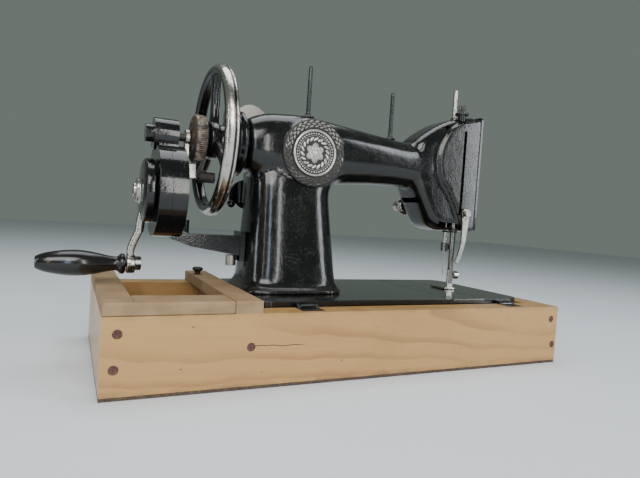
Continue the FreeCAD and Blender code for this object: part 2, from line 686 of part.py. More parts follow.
def gear(x, z, teeth, module, width, first_angle):
    """A spur gear: a root disc, one padded tooth and its polar pattern, facing +X."""
    pitch = teeth * module / 2
    root = pitch - module * 1.05
    tip = pitch + module * 0.75
    body = DOC.addObject("PartDesign::Body", "gear")
    sketch = body.newObject("Sketcher::SketchObject", "root_circle")
    sketch.AttachmentSupport = (origin_plane(body, "XY_Plane"), [""])
    sketch.MapMode = "FlatFace"
    sketch.addGeometry(Part.Circle(Vector(0, 0, 0), Vector(0, 0, 1), root.value), False)
    sketch.addConstraint(Sketcher.Constraint("Coincident", 0, 3, -1, 1))
    index = sketch.addConstraint(Sketcher.Constraint("Radius", 0, root.value))
    sketch.setExpression("Constraints[%d]" % index, root.text)
    disc = body.newObject("PartDesign::Pad", "root_disc")
    disc.Profile = sketch
    disc.Length = width
    foot = module * 0.86
    crest = module * 0.36
    flanks = [(root - 0.5, -foot), (tip, -crest), (tip, crest), (root - 0.5, foot)]
    tooth_sketch = outline(body, "XY_Plane", flanks)
    tooth = body.newObject("PartDesign::Pad", "tooth")
    tooth.Profile = tooth_sketch
    tooth.Length = width
    body.Tip = tooth
    DOC.recompute()
    pattern = body.newObject("PartDesign::PolarPattern", "teeth")
    pattern.Originals = [tooth]
    pattern.Axis = (sketch, ["N_Axis"])
    pattern.Angle = 360
    bind(pattern, "Occurrences", teeth)
    body.Tip = pattern
    put(body, (x, SHAFT_Y, z), "+x", first_angle)
    return body


def make_crank_bracket():
    """The bracket that carries the crank gear beside the wheel, and the cover over the gears."""
    plate = rod((CASE_LEFT, SHAFT_Y, CRANK_Z), "+x", CASE, 16)
    boss = rod((CASE_LEFT + 7, SHAFT_Y, SHAFT_Z), "+x", 17.6, 25)
    neck = span((CASE_LEFT + 7, SHAFT_Y - 14, CRANK_Z + 30), (CASE_LEFT + 27, SHAFT_Y + 14, SHAFT_Z))
    cap = rod((CASE_LEFT + 30, SHAFT_Y, SHAFT_Z), "+x", 10, 10)
    arm = padded((0, SHAFT_Y + 12, 0), "XZ_Plane",
                 [(178, 118), (236, 127), (256, 134), (256, 146), (236, 141), (178, 141)], 24)
    clamp = rod((243, SHAFT_Y, 140), "+z", 7, 16)
    foot = span((174, SHAFT_Y - 14, 112), (179.6, SHAFT_Y + 14, 146))
    gear_room = rod((CASE_LEFT + 3, SHAFT_Y, CRANK_Z), "+x", CASE - 1.6, 40)
    pinion_room = rod((CASE_LEFT + 9, SHAFT_Y, SHAFT_Z), "+x", 16.5, 16.5)
    pinion_bore = rod((CASE_LEFT - 2, SHAFT_Y, SHAFT_Z), "+x", 5.05, 40)
    outside = fuse(plate, boss, neck, cap, arm, clamp, foot)
    shell = cut(outside, gear_room, pinion_room, pinion_bore)
    stud = rod((CASE_LEFT + 2, SHAFT_Y, CRANK_Z), "+x", 6, 22)
    node("crank_bracket", fuse(shell, stud))
    ring_wall = tube((CASE_LEFT + 16, SHAFT_Y, CRANK_Z), "+x", CASE, CASE - 1.6, 13)
    front = tube((CASE_RIGHT - 2, SHAFT_Y, CRANK_Z), "+x", CASE - 1, 18, 2)
    clear_boss = rod((CASE_LEFT, SHAFT_Y, SHAFT_Z), "+x", 17.6, 40)
    clear_neck = span((CASE_LEFT + 7, SHAFT_Y - 14, CRANK_Z + 30), (CASE_LEFT + 27, SHAFT_Y + 14, SHAFT_Z))
    node("crank_gear_cover", cut(fuse(ring_wall, front), clear_boss, clear_neck))


def make_crank():
    """Crank gear, crank with its disc and rod, and the centre screw that holds them on the stud."""
    total = GEAR_TEETH + PINION_TEETH
    module = (SHAFT_Z - CRANK_Z) * 2 / total
    wheel = gear(CASE_LEFT + 10, CRANK_Z, GEAR_TEETH, module, 12, 0)
    hub = rod((CASE_LEFT + 22, SHAFT_Y, CRANK_Z), "+x", 16, 8)
    hole = rod((CASE_LEFT + 2, SHAFT_Y, CRANK_Z), "+x", 6.05, 40)
    node("crank_gear", cut(fuse(wheel, hub), hole))
    disc = turned((CASE_RIGHT + 1, SHAFT_Y, CRANK_Z), "+x",
                  [(0, 0), (34, 0), (35, 1), (35, 9), (31, 12), (14, 13), (12, 17), (0, 17)])
    low_z = CRANK_Z - CRANK_ARM
    shank = leaning_rod((289, CRANK_Z.value - 26), (297, low_z.value + 8), 4.2)
    eye = rod((292, SHAFT_Y, low_z), "+x", 10, 9)
    bore = rod((280, SHAFT_Y, low_z), "+x", 4, 40)
    pocket = rod((CASE_RIGHT, SHAFT_Y, CRANK_Z), "+x", 3.5, 20)
    node("crank_arm", cut(fuse(disc, shank, eye), bore, pocket))
    node("crank_centre_screw", fuse(rod((CASE_RIGHT + 1, SHAFT_Y, CRANK_Z), "+x", 3.5, 17),
                                    rod((CASE_RIGHT + 18, SHAFT_Y, CRANK_Z), "+x", 7.5, 3)))
    bolt = fuse(rod((286, SHAFT_Y, low_z), "+x", 7.5, 6), rod((292, SHAFT_Y, low_z), "+x", 4, 9),
                rod((301, SHAFT_Y, low_z), "+x", 3, 80), rod((381, SHAFT_Y, low_z), "+x", 5, 4))
    node("grip_bolt", bolt)


def leaning_rod(start, end, radius):
    """A round rod in the shaft's plane between two (x, z) points."""
    run = Vector(end[0] - start[0], 0, end[1] - start[1])
    piece = rod((start[0], SHAFT_Y, start[1]), "+z", radius, run.Length)
    piece.Placement.Rotation = Rotation(Vector(0, 0, 1), run)
    return piece


def make_grip():
    """The turned wooden grip, a swelling handle with a bead at its root, free on its bolt."""
    low_z = CRANK_Z - CRANK_ARM
    length = GRIP_RIGHT - GRIP_LEFT
    profile = [(3.05, 0), (9, 0), (11, 3, 10.6, 1), (9, 6, 10.6, 5), (7.6, 10, 7.8, 8),
               (GRIP, 45, 11.6, 28), (10, length - 8, 12.9, 64), (6, length, 8.9, 82), (5.3, length),
               (5.3, 78.8), (3.05, 78.8)]
    node("crank_grip", turned((GRIP_LEFT, SHAFT_Y, low_z), "+x", profile))


def make_driver():
    """Pinion, its shaft with the driver link, and the padded finger that turns the wheel."""
    total = GEAR_TEETH + PINION_TEETH
    module = (SHAFT_Z - CRANK_Z) * 2 / total
    pinion = gear(CASE_LEFT + 10, SHAFT_Z, PINION_TEETH, module, 12, 180 / PINION_TEETH.value)
    shaft = rod((CASE_LEFT - 2, SHAFT_Y, SHAFT_Z), "+x", 5, 38)
    node("driver_pinion", fuse(pinion, shaft))
    hub = rod((242, SHAFT_Y, SHAFT_Z), "+x", 9, 4)
    link = span((242, SHAFT_Y - 5, SHAFT_Z - 32), (246, SHAFT_Y + 5, SHAFT_Z))
    foot = span((233, SHAFT_Y - 5, SHAFT_Z - 44), (246, SHAFT_Y + 5, SHAFT_Z - 29))
    room = span((230, SHAFT_Y - 2.3, SHAFT_Z - 46), (241, SHAFT_Y + 2.3, SHAFT_Z - 28))
    hinge_pin = rod((236.5, SHAFT_Y - 5.5, SHAFT_Z - 38), "+y", 1.6, 11)
    node("driver_link", fuse(cut(fuse(hub, link, foot), room), hinge_pin))


def make_driver_finger():
    """The finger that folds out of the wheel, with its leather-covered pad."""
    tongue = fuse(span((222, SHAFT_Y - 2, SHAFT_Z - 42), (236.5, SHAFT_Y + 2, SHAFT_Z - 34)),
                  rod((236.5, SHAFT_Y - 2, SHAFT_Z - 38), "+y", 4, 4))
    hole = rod((236.5, SHAFT_Y - 8, SHAFT_Z - 38), "+y", 1.65, 16)
    shaft = rod((210, SHAFT_Y, SHAFT_Z - 42), "+x", 3, 20)
    node("driver_finger", cut(fuse(cut(tongue, hole), shaft), hole))
    pad = cut(rod((211, SHAFT_Y, SHAFT_Z - 42), "+x", 6, 18), rod((208, SHAFT_Y, SHAFT_Z - 42), "+x", 3, 30),
              span((222, SHAFT_Y - 2, SHAFT_Z - 42), (236.5, SHAFT_Y + 2, SHAFT_Z - 34)))
    node("driver_pad", pad)


# ---- needle bar, presser bar and tension ---------------------------------------------------

def make_needle_bar():
    """The needle bar at the top of its stroke, its cam roller block, clamp, screw and needle."""
    low = BED_TOP + 53
    bar = rod((NEEDLE_X, SHAFT_Y, low + 12), "+z", 3.15, 215)
    node("needle_bar", bar)
    block = tube((NEEDLE_X, SHAFT_Y, SHAFT_Z + 8), "+z", 6, 3.15, 14)
    roller = rod((NEEDLE_X + 5, SHAFT_Y, SHAFT_Z + 15), "+x", 2.2, 1.6)
    node("needle_bar_block", fuse(block, roller))
    clamp = rod((NEEDLE_X, SHAFT_Y, low), "+z", 5.2, 12)
    side_hole = rod((NEEDLE_X, SHAFT_Y, low + 6), "-x", 1.6, 9)
    needle_hole = rod((NEEDLE_X, SHAFT_Y, low - 1), "+z", 1, 13)
    screw = fuse(rod((NEEDLE_X - 1, SHAFT_Y, low + 6), "-x", 1.6, 8),
                 rod((NEEDLE_X - 6, SHAFT_Y, low + 6), "-x", 4, 5))
    node("needle_clamp", group(cut(clamp, side_hole, needle_hole), screw))
    shank = rod((NEEDLE_X, SHAFT_Y, low - 2), "+z", 1, 14)
    blade = rod((NEEDLE_X, SHAFT_Y, low - 30), "+z", 0.55, 28)
    point = cone((NEEDLE_X, SHAFT_Y, low - 36), "+z", 0.1, 0.55, 6)
    node("needle", fuse(shank, blade, point))


def make_presser():
    """Presser bar, its lifting block, spring, foot, foot screw and the pressure screw on top."""
    sole = BED_TOP + 0.7
    bar = rod((NEEDLE_X, PRESSER_Y, sole + 8), "+z", 3.8, 191)
    slot = span((NEEDLE_X - 8, PRESSER_Y - 1.6, sole + 6), (NEEDLE_X + 8, PRESSER_Y + 1.6, sole + 30))
    block = span((NEEDLE_X - 5.5, PRESSER_Y - 5.5, 196), (NEEDLE_X + 5.5, PRESSER_Y + 6.4, 206))
    node("presser_bar", fuse(cut(bar, slot), block))
    shank = span((NEEDLE_X - 4.5, PRESSER_Y - 1.6, sole + 2), (NEEDLE_X + 4.5, PRESSER_Y + 1.6, sole + 28))
    base = padded((0, 0, sole), "XY_Plane", rectangle((NEEDLE_X - 9, -19), (NEEDLE_X + 9, 15)), 2.2, 2)
    toe_gap = span((NEEDLE_X - 1.6, -20, sole - 1), (NEEDLE_X + 1.6, 2, sole + 4))
    screw_hole = rod((NEEDLE_X - 8, PRESSER_Y, sole + 20), "+x", 1.1, 30)
    foot = cut(fuse(shank, base), toe_gap, screw_hole)
    foot_screw = fuse(rod((NEEDLE_X - 4.5, PRESSER_Y, sole + 20), "+x", 1.1, 8.5),
                      rod((NEEDLE_X - 12, PRESSER_Y, sole + 20), "+x", 5.5, 7.5))
    node("presser_foot", group(foot, foot_screw))
    spring = tube((NEEDLE_X, PRESSER_Y, 206.2), "+z", 5.4, 4.2, 82)
    node("presser_spring", spring)


def make_pressure_screw():
    """The hollow pressure-regulating thumb screw on top of the head."""
    sleeve = rod((NEEDLE_X, PRESSER_Y, 290), "+z", 5.45, 31)
    flange = rod((NEEDLE_X, PRESSER_Y, 322), "+z", 9, 4)
    knob = rod((NEEDLE_X, PRESSER_Y, 321), "+z", 5, 15)
    hollow = rod((NEEDLE_X, PRESSER_Y, 289), "+z", 4.1, 14)
    node("pressure_screw", cut(fuse(sleeve, flange, knob), hollow))


def make_lifter():
    """The presser lifter on the back of the head: a cam on a pivot screw and a long lever."""
    y = HEAD_BACK + GAP
    pivot_x, pivot_z = LIFTER_PIVOT
    hub = rod((pivot_x, y, pivot_z), "+y", 7, 4)
    lever = padded((0, y + 3, 0), "XZ_Plane",
                   [(pivot_x - 6, pivot_z), (pivot_x - 5.5, 168), (pivot_x - 3, 145), (-131, 124),
                    (-126, 117), (-122, 119), (-126, 128), (pivot_x + 3.5, 147), (pivot_x + 4, 168),
                    (pivot_x + 6, pivot_z)], 3)
    hole = rod((pivot_x, y - 1, pivot_z), "+y", 2.55, 10)
    node("presser_lifter", cut(fuse(hub, lever), hole))


def make_take_up():
    """The take-up lever, which comes out of the slot on the operator's side."""
    pivot = TAKE_UP_PIVOT
    arm = padded((NEEDLE_X - 1.5, 0, 0), "YZ_Plane",
                 [(pivot[0] + 3, pivot[1] - 3), (pivot[0] + 3, pivot[1] + 3), (-38, 248), (-54, 262),
                  (-58, 261, -57.4, 264), (-55, 257), (-40, 243)], 4)
    hub = rod((NEEDLE_X - 1.5, pivot[0], pivot[1]), "+x", 5.5, 10)
    hole = rod((NEEDLE_X - 3, pivot[0], pivot[1]), "+x", 2.05, 14)
    eye = rod((NEEDLE_X - 3, -55.2, 260.4), "+x", 1.1, 8)
    node("take_up_lever", cut(fuse(arm, hub), hole, eye))


def make_tension():
    """The thread tension on the operator's side: stud, two discs, a beehive spring and a nut."""
    face = HEAD_FRONT
    plates = [tube((TENSION_X, face - start, TENSION_Z), "-y", 12.5, 2.4, 1.1) for start in (4, 5.6)]
    back = tube((TENSION_X, face, TENSION_Z), "-y", 10, 2.4, 3.9)
    spring = cut(cone((TENSION_X, face - 6.8, TENSION_Z), "-y", 8, 5.5, 10),
                 cone((TENSION_X, face - 6.8, TENSION_Z), "-y", 6.8, 4.3, 10))
    node("tension_discs", group(back, spring, *plates))
    nut = tube((TENSION_X, face - 17.2, TENSION_Z), "-y", 7.5, 2.45, 8)
    node("tension_nut", nut)


# ---- small levers on the pillar ------------------------------------------------------------

def make_regulator(casting):
    """The stitch-length lever on the operator's side of the pillar."""
    y = -49.0
    plate = span((128, -45, 180), (164, -30, 226))
    slot_pin = rod((150, -44.5, 206), "-y", 2.5, 11)
    node("regulator_plate", fuse(cut(plate, casting), slot_pin))
    lever = padded((0, y, 0), "XZ_Plane",
                   [(147, 202), (160, 200), (172, 192, 167.5, 197.5), (173, 181), (179, 181),
                    (178.5, 194, 179.2, 188), (162, 209, 172, 204), (147, 210)], 3)
    hub = rod((150, y, 206), "-y", 6, 4)
    knob = ball((176, y - 1.5, 178), 5.2)
    hole = rod((150, y + 3, 206), "-y", 2.55, 12)
    node("regulator_lever", cut(fuse(lever, hub, knob), hole))


def make_winder():
    """The bobbin winder: a swinging frame on the arm and its spindle with a rubber-tyred wheel."""
    y = WINDER_Y
    frame = padded((0, y + 4, 0), "XZ_Plane",
                   [(140, 270), (178, 270), (180, 284), (174, 296, 178.8, 291), (146, 297, 160, 302),
                    (138, 284, 140, 292)], 5)
    spindle_bore = rod((130, y + 1.5, 283), "+x", 2.55, 60)
    lug = rod((157, y + 1.5, 283), "+x", 5.5, 21)
    pivot_hole = rod((150, y + 6, 276), "-y", 2.55, 12)
    node("winder_frame", cut(fuse(frame, lug), spindle_bore, pivot_hole))
    spindle = fuse(rod((133, y + 1.5, 283), "+x", 2.5, 59), rod((131, y + 1.5, 283), "+x", 3.2, 6),
                   rod((184, y + 1.5, 283), "+x", 11, 7))
    node("winder_spindle", spindle)
    tyre = tube((184.5, y + 1.5, 283), "+x", 13.2, 11, 6)
    node("winder_tyre", tyre)


# ---- under the bed -------------------------------------------------------------------------

LEVER_X = Size.of(52)
LEVER_Z = Size.of(48)


def make_shuttle_drive():
    """The rod down the pillar, the swinging shuttle lever, its carrier, shuttle and bobbin."""
    rod_body = span((112.5, SHAFT_Y - 4, 60), (121.5, SHAFT_Y + 4, 226))
    head = tube((112.5, SHAFT_Y, SHAFT_Z), "+x", 17, 12.8, 9)
    neck = span((112.5, SHAFT_Y - 5, 222), (121.5, SHAFT_Y + 5, 232))
    node("connecting_rod", cut(fuse(rod_body, head, neck), rod((110, SHAFT_Y, SHAFT_Z), "+x", 12.8, 14)))
    arm = span((-104, SHAFT_Y - 5, LEVER_Z - 3), (LEVER_X, SHAFT_Y + 5, LEVER_Z + 3))
    hub = rod((LEVER_X, SHAFT_Y, LEVER_Z - 5), "+z", 10, 10)
    bore = rod((LEVER_X, SHAFT_Y, LEVER_Z - 8), "+z", 4.05, 20)
    cradle = span((-104, SHAFT_Y - 20, LEVER_Z + 3), (-88, SHAFT_Y + 20, LEVER_Z + 11))
    trough = rod((-96, SHAFT_Y - 21, LEVER_Z + 14), "+y", 6.6, 42)
    node("shuttle_lever", cut(fuse(arm, hub, cradle), bore, trough))
    shell = fuse(rod((-96, SHAFT_Y - 14, LEVER_Z + 14), "+y", 6.4, 30),
                 cone((-96, SHAFT_Y - 14, LEVER_Z + 14), "-y", 6.4, 1.2, 10))
    inside = rod((-96, SHAFT_Y - 13, LEVER_Z + 14), "+y", 5, 40)
    node("shuttle", cut(shell, inside))
    core = fuse(rod((-96, SHAFT_Y - 12, LEVER_Z + 14), "+y", 1.6, 26),
                rod((-96, SHAFT_Y - 12, LEVER_Z + 14), "+y", 4.4, 1.4),
                rod((-96, SHAFT_Y + 12.6, LEVER_Z + 14), "+y", 4.4, 1.4))
    node("shuttle_bobbin", core)


def make_feed():
    """The feed bar under the needle plate with its toothed feed dog."""
    bar = span((-138, -10, 33), (20, 2, 39))
    riser = span((-138, -14, 33), (-116, 6, 72.5))
    needle_room = rod((NEEDLE_X, SHAFT_Y, 48), "+z", 3.2, 30)
    node("feed_bar", cut(fuse(bar, riser), needle_room))
    rows = [span((NEEDLE_X + x, -13.2, 72.5), (NEEDLE_X + x + 3, 5.2, BED_TOP + 0.4)) for x in (-7.5, 4.5)]
    cuts = [padded((NEEDLE_X - 10, 0, 0), "YZ_Plane",
                   [(y, BED_TOP + 1), (y + 1.1, BED_TOP - 0.8), (y + 1.2, BED_TOP + 1)], 20)
            for y in [-12.2 + 1.6 * k for k in range(11)]]
    node("feed_dog", group(*[cut(row, *cuts) for row in rows]))


def check(piece):
    """Stops the build if an object has failed or a sub-part is not a valid solid."""
    shape = piece.Shape
    if shape.isNull() or not shape.isValid() or not shape.Solids:
        raise RuntimeError("bad shape: " + piece.Label)


def export():
    DOC.recompute()
    failed = []
    for thing in DOC.Objects:
        if "Invalid" in thing.State or "Error" in thing.State:
            failed.append("%s in %s" % (thing.Name, [user.Label for user in thing.InListRecursive][-1:]))
    if failed:
        raise RuntimeError("failed objects: " + ", ".join(failed))
    labels = [piece.Label for piece in NODES]
    if len(set(labels)) != len(labels):
        raise RuntimeError("two sub-parts share a name")
    for piece in NODES:
        check(piece)
    os.makedirs("parts", exist_ok=True)
    for piece in NODES:
        piece.Shape.exportStep("parts/%s.step" % piece.Label)
        print(piece.Label, len(piece.Shape.Solids), round(piece.Shape.Volume))
    print(len(NODES), "sub-parts")


def main():
    make_base()
    make_ledges()
    make_strips()
    make_latch()
    make_hinges()
    make_bed()
    make_plates()
    casting = make_arm()
    make_head_covers()
    node("spool_pins", group(*spool_pin_pair()))
    make_screws()
    make_studs()
    make_shaft()
    make_handwheel()
    make_clutch_knob()
    make_crank_bracket()
    make_crank()
    make_grip()
    make_driver()
    make_driver_finger()
    make_needle_bar()
    make_presser()
    make_pressure_screw()
    make_lifter()
    make_take_up()
    make_tension()
    make_regulator(casting)
    make_winder()
    make_shuttle_drive()
    make_feed()
    export()


main()
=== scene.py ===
"""Looks for a hand-crank sewing machine in a wooden base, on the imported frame."""
import math

import bmesh
import bpy
import numpy as np
from mathutils import Matrix, Vector


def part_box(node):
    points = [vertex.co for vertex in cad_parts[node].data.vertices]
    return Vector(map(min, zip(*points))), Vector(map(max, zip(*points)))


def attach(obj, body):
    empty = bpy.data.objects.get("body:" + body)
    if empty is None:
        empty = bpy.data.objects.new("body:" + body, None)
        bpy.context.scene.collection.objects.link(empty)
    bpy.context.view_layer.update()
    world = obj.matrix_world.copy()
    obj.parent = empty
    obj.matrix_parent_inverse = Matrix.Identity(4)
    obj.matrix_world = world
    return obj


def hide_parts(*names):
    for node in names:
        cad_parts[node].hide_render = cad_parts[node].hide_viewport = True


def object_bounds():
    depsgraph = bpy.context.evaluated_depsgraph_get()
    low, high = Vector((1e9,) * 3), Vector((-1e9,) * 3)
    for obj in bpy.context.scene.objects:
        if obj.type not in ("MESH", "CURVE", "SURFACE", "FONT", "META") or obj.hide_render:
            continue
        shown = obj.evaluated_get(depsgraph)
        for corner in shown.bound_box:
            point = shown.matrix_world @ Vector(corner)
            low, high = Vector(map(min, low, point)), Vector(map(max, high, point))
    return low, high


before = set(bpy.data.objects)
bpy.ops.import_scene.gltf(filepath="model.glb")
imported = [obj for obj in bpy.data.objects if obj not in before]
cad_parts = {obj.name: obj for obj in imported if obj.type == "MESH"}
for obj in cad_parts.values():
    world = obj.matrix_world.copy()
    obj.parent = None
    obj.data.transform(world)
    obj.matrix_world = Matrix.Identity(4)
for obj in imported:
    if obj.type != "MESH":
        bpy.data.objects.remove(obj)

bl_info = {
    "name": "Hand-crank sewing machine",
    "version": (1, 0, 0),
    "blender": (4, 5, 0),
    "location": "View3D > Sidebar > Sewing machine",
    "description": "Builds the visible pieces and finishes of a hand-crank sewing machine",
    "category": "Object",
}

MM = 0.001
CAD_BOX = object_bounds()


def ends(node_name):
    """The lowest and highest corners of a node, in millimetres."""
    low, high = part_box(node_name)
    return np.array(low) / MM, np.array(high) / MM


def middle(node_name):
    low, high = ends(node_name)
    return (low + high) / 2


WHEEL_LOW, WHEEL_HIGH = ends("handwheel")
WHEEL_RIM = (WHEEL_HIGH[2] - WHEEL_LOW[2]) / 2
WHEEL_LEFT = 207.5
SHAFT_Y, SHAFT_Z = middle("handwheel")[1:]
CRANK_Z = middle("crank_gear_cover")[2]
NEEDLE_X = middle("needle")[0]
PRESSER_Y = middle("presser_spring")[1]
COVER_X, _, COVER_Z = middle("rear_cover_plate")
COVER_R = (ends("rear_cover_plate")[1][0] - ends("rear_cover_plate")[0][0]) / 2
AXES = {
    "+x": ((0, 1, 0), (0, 0, 1), (1, 0, 0)),
    "-x": ((0, 0, 1), (0, 1, 0), (-1, 0, 0)),
    "+y": ((0, 0, 1), (1, 0, 0), (0, 1, 0)),
    "-y": ((1, 0, 0), (0, 0, 1), (0, -1, 0)),
    "+z": ((1, 0, 0), (0, 1, 0), (0, 0, 1)),
}


# ---- settings ------------------------------------------------------------------------------

def colour(name, description, default):
    return bpy.props.FloatVectorProperty(name=name, description=description, default=default,
                                         size=3, min=0.0, max=1.0, subtype="COLOR")


def share(name, description, default):
    return bpy.props.FloatProperty(name=name, description=description, default=default,
                                   min=0.0, max=1.0, subtype="FACTOR")


def length(name, description, default):
    return bpy.props.FloatProperty(name=name, description=description, default=default,
                                   min=0.0, unit="LENGTH", subtype="DISTANCE")


class SewingWood(bpy.types.PropertyGroup):
    """Colours and edge wear of the wooden base."""
    honey: colour("Honey varnish", "Varnished pine between the dark grain lines", (0.50, 0.285, 0.100))
    grain: colour("Grain line", "Late wood lines and the dirt in them", (0.27, 0.125, 0.042))
    grey_wood: colour("Bare wood", "Unvarnished strips, greyed by handling", (0.34, 0.23, 0.125))
    edge: length("Worn edge", "Rounding of the boards' edges", 0.0014)


class SewingEnamel(bpy.types.PropertyGroup):
    """The black enamel on the castings."""
    black: colour("Enamel black", "Colour of the enamel where it is clean", (0.0050, 0.0054, 0.0056))
    dust: colour("Dust", "Brown dust and dried oil on the enamel", (0.060, 0.052, 0.038))
    dirt: share("Dirt", "How much of the enamel is dusty", 0.22)
    edge: length("Casting edge", "Rounding of the castings' edges", 0.0011)


class SewingMetal(bpy.types.PropertyGroup):
    """Nickel, steel and rust."""
    nickel: colour("Nickel", "Bright plated metal", (0.58, 0.56, 0.52))
    rust: colour("Rust", "Brown rust where the plating has gone", (0.17, 0.075, 0.030))
    wear: share("Rust share", "How much of the wheel rim has rusted", 0.58)


class SewingCastingSizes(bpy.types.PropertyGroup):
    """How finely the arm casting is made."""
    grain_size: length("Mesh size", "Distance between the points of the casting's skin", 0.0021)
    passes: bpy.props.IntProperty(name="Blend passes", description="Softening where pillar and arm meet",
                                  default=26, min=1, max=80)


class SewingStage(bpy.types.PropertyGroup):
    """Floor, light and camera."""
    floor: colour("Floor", "Pale cloth-like floor", (0.72, 0.76, 0.80))
    air: colour("Surroundings", "Dim green-grey room that the gloss picks up", (0.50, 0.60, 0.54))
    lens: bpy.props.FloatProperty(name="Lens", description="Focal length", default=29.1,
                                  min=10.0, max=200.0, unit="CAMERA")
    key: bpy.props.FloatProperty(name="Key light", description="Power of the large soft light",
                                 default=25.0, min=0.0, unit="POWER")


# ---- shapes --------------------------------------------------------------------------------

class Form:
    """Grids of points gathered into one mesh; lengths are in millimetres until it is built."""

    def __init__(self):
        self.points = []
        self.faces = []
        self.marks = []
        self.count = 0

    def grid(self, points, mark=0, wrap_rows=False, wrap_columns=True, ends=True):
        """Adds quads between the neighbours of a rows x columns grid of points.

        mark is a finish number, or a function that gives one from the faces' middles.  Open
        ends of a wrapped grid are closed with fans that meet at the middle of the ring.
        """
        points = np.asarray(points, float)
        rows, columns = points.shape[:2]
        number = np.arange(rows * columns).reshape(rows, columns)
        if wrap_rows:
            number = np.vstack([number, number[:1]])
        if wrap_columns:
            number = np.hstack([number, number[:, :1]])
        quads = np.stack([number[:-1, :-1], number[:-1, 1:], number[1:, 1:], number[1:, :-1]], -1)
        quads = quads.reshape(-1, 4)
        flat = points.reshape(-1, 3)
        middles = flat[quads].mean(1)
        marks = mark(middles) if callable(mark) else np.full(len(quads), mark)
        self.points.append(flat)
        self.faces.extend((quads + self.count).tolist())
        self.marks.extend(marks.tolist())
        if ends and wrap_columns and not wrap_rows:
            for row, flip in ((0, False), (rows - 1, True)):
                self.fan(number[row, :-1], points[row].mean(0), flip, marks[0] if row == 0 else marks[-1])
        self.count = sum(len(part) for part in self.points)

    def fan(self, ring, middle, flip, mark):
        """Closes a ring with triangles to a point in its middle."""
        tip = sum(len(part) for part in self.points)
        first = ring + self.count
        second = np.roll(ring, -1) + self.count
        tips = np.full(len(ring), tip)
        order = (tips, first, second) if flip else (tips, second, first)
        self.faces.extend(np.stack(order, -1).tolist())
        self.marks.extend([int(mark)] * len(ring))
        self.points.append(np.asarray([middle]))

    def mesh(self, name):
        """The gathered grids as one mesh in metres, poles and seams merged, faces outwards."""
        points = np.concatenate(self.points) * MM
        mesh = bpy.data.meshes.new(name)
        mesh.from_pydata(points.tolist(), [], self.faces)
        mesh.polygons.foreach_set("material_index", np.asarray(self.marks, np.int32))
        return tidied(mesh)


def tidied(mesh, merge=0.000002):
    """Merges doubled points, then turns every face outwards."""
    work = bmesh.new()
    work.from_mesh(mesh)
    bmesh.ops.remove_doubles(work, verts=work.verts, dist=merge)
    bmesh.ops.recalc_face_normals(work, faces=work.faces)
    work.to_mesh(mesh)
    work.free()
    mesh.polygons.foreach_set("use_smooth", np.ones(len(mesh.polygons), bool))
    return mesh


def smooth_path(points, steps):
    """A curve through the given points, of any dimension: cubic pieces whose slope at each
    point is half the way from its neighbour before to its neighbour after."""
    points = np.asarray(points, float)
    padded = np.vstack([2 * points[:1] - points[1:2], points, 2 * points[-1:] - points[-2:-1]])
    t = np.linspace(0, 1, steps, endpoint=False)[None, :, None]
    a, b, c, d = (padded[i:len(padded) - 3 + i][:, None] for i in range(4))
    curve = (b + t / 2 * (c - a) + t ** 2 * (a - 2.5 * b + 2 * c - d / 2)
             + t ** 3 * (1.5 * (b - c) + (d - a) / 2))
    return np.vstack([curve.reshape(-1, points.shape[1]), points[-1:]])


def soft_corners(points, size, closed=False, steps=3):
    """A polygon whose corners are rounded: each becomes a parabola that starts and ends
    at most size before and after it."""
    points = np.asarray(points, float)
    before = np.roll(points, 1, 0) - points
    after = np.roll(points, -1, 0) - points
    reach_before = np.linalg.norm(before, axis=1, keepdims=True)
    reach_after = np.linalg.norm(after, axis=1, keepdims=True)
    cut = np.minimum(size, 0.45 * np.minimum(reach_before, reach_after))
    start = points + before / np.maximum(reach_before, 1e-9) * cut
    end = points + after / np.maximum(reach_after, 1e-9) * cut
    t = np.linspace(0, 1, steps + 1)[None, :, None]
    arcs = (1 - t) ** 2 * start[:, None] + 2 * t * (1 - t) * points[:, None] + t ** 2 * end[:, None]
    if closed:
        return arcs.reshape(-1, points.shape[1])
    return np.vstack([points[:1], arcs[1:-1].reshape(-1, points.shape[1]), points[-1:]])


def ring_angles(count):
    return np.arange(count) * 2 * math.pi / count


def lathe(profile, at, axis, sides=64, ripple=None):
    """A profile of (radius, height) turned about an axis through at.

    ripple, if given, is a function of the radius, height and angle grids that gives the
    change in (radius, height).
    """
    profile = np.asarray(profile, float)
    angle = ring_angles(sides)[None, :]
    radius = np.repeat(profile[:, :1], sides, 1)
    height = np.repeat(profile[:, 1:2], sides, 1)
    if ripple:
        more = ripple(radius, height, angle)
        radius, height = radius + more[0], height + more[1]
    across, along, out = (np.asarray(v, float) for v in AXES[axis])
    return (np.asarray(at, float) + (radius * np.cos(angle))[..., None] * across
            + (radius * np.sin(angle))[..., None] * along + height[..., None] * out)


def carried(path, across, section, scale=None):
    """A closed section carried along a flat path: section x lies in the path's plane, square
    to the path, and section y along across, the plane's normal; scale is a size per point."""
    path = np.asarray(path, float)
    across = np.asarray(across, float)
    section = np.asarray(section, float)
    scale = np.ones((len(path), 2)) if scale is None else np.asarray(scale, float)
    run = np.gradient(path, axis=0)
    run /= np.linalg.norm(run, axis=1, keepdims=True)
    side = np.cross(across, run)
    return (path[:, None] + (section[None, :, 0] * scale[:, :1])[..., None] * side[:, None]
            + (section[None, :, 1] * scale[:, 1:2])[..., None] * across)


def disc_section(sides=20):
    angle = ring_angles(sides)
    return np.stack([np.cos(angle), np.sin(angle)], -1)


def squared_ring(half_a, half_b, power, count):
    """Points of |a/half_a|^power + |b/half_b|^power = 1, as two arrays, rows by columns."""
    angle = ring_angles(count)[None, :]
    c, s = np.cos(angle), np.sin(angle)
    size = (np.abs(c) ** power + np.abs(s) ** power) ** (-1 / power)
    return half_a * size * c, half_b * size * s


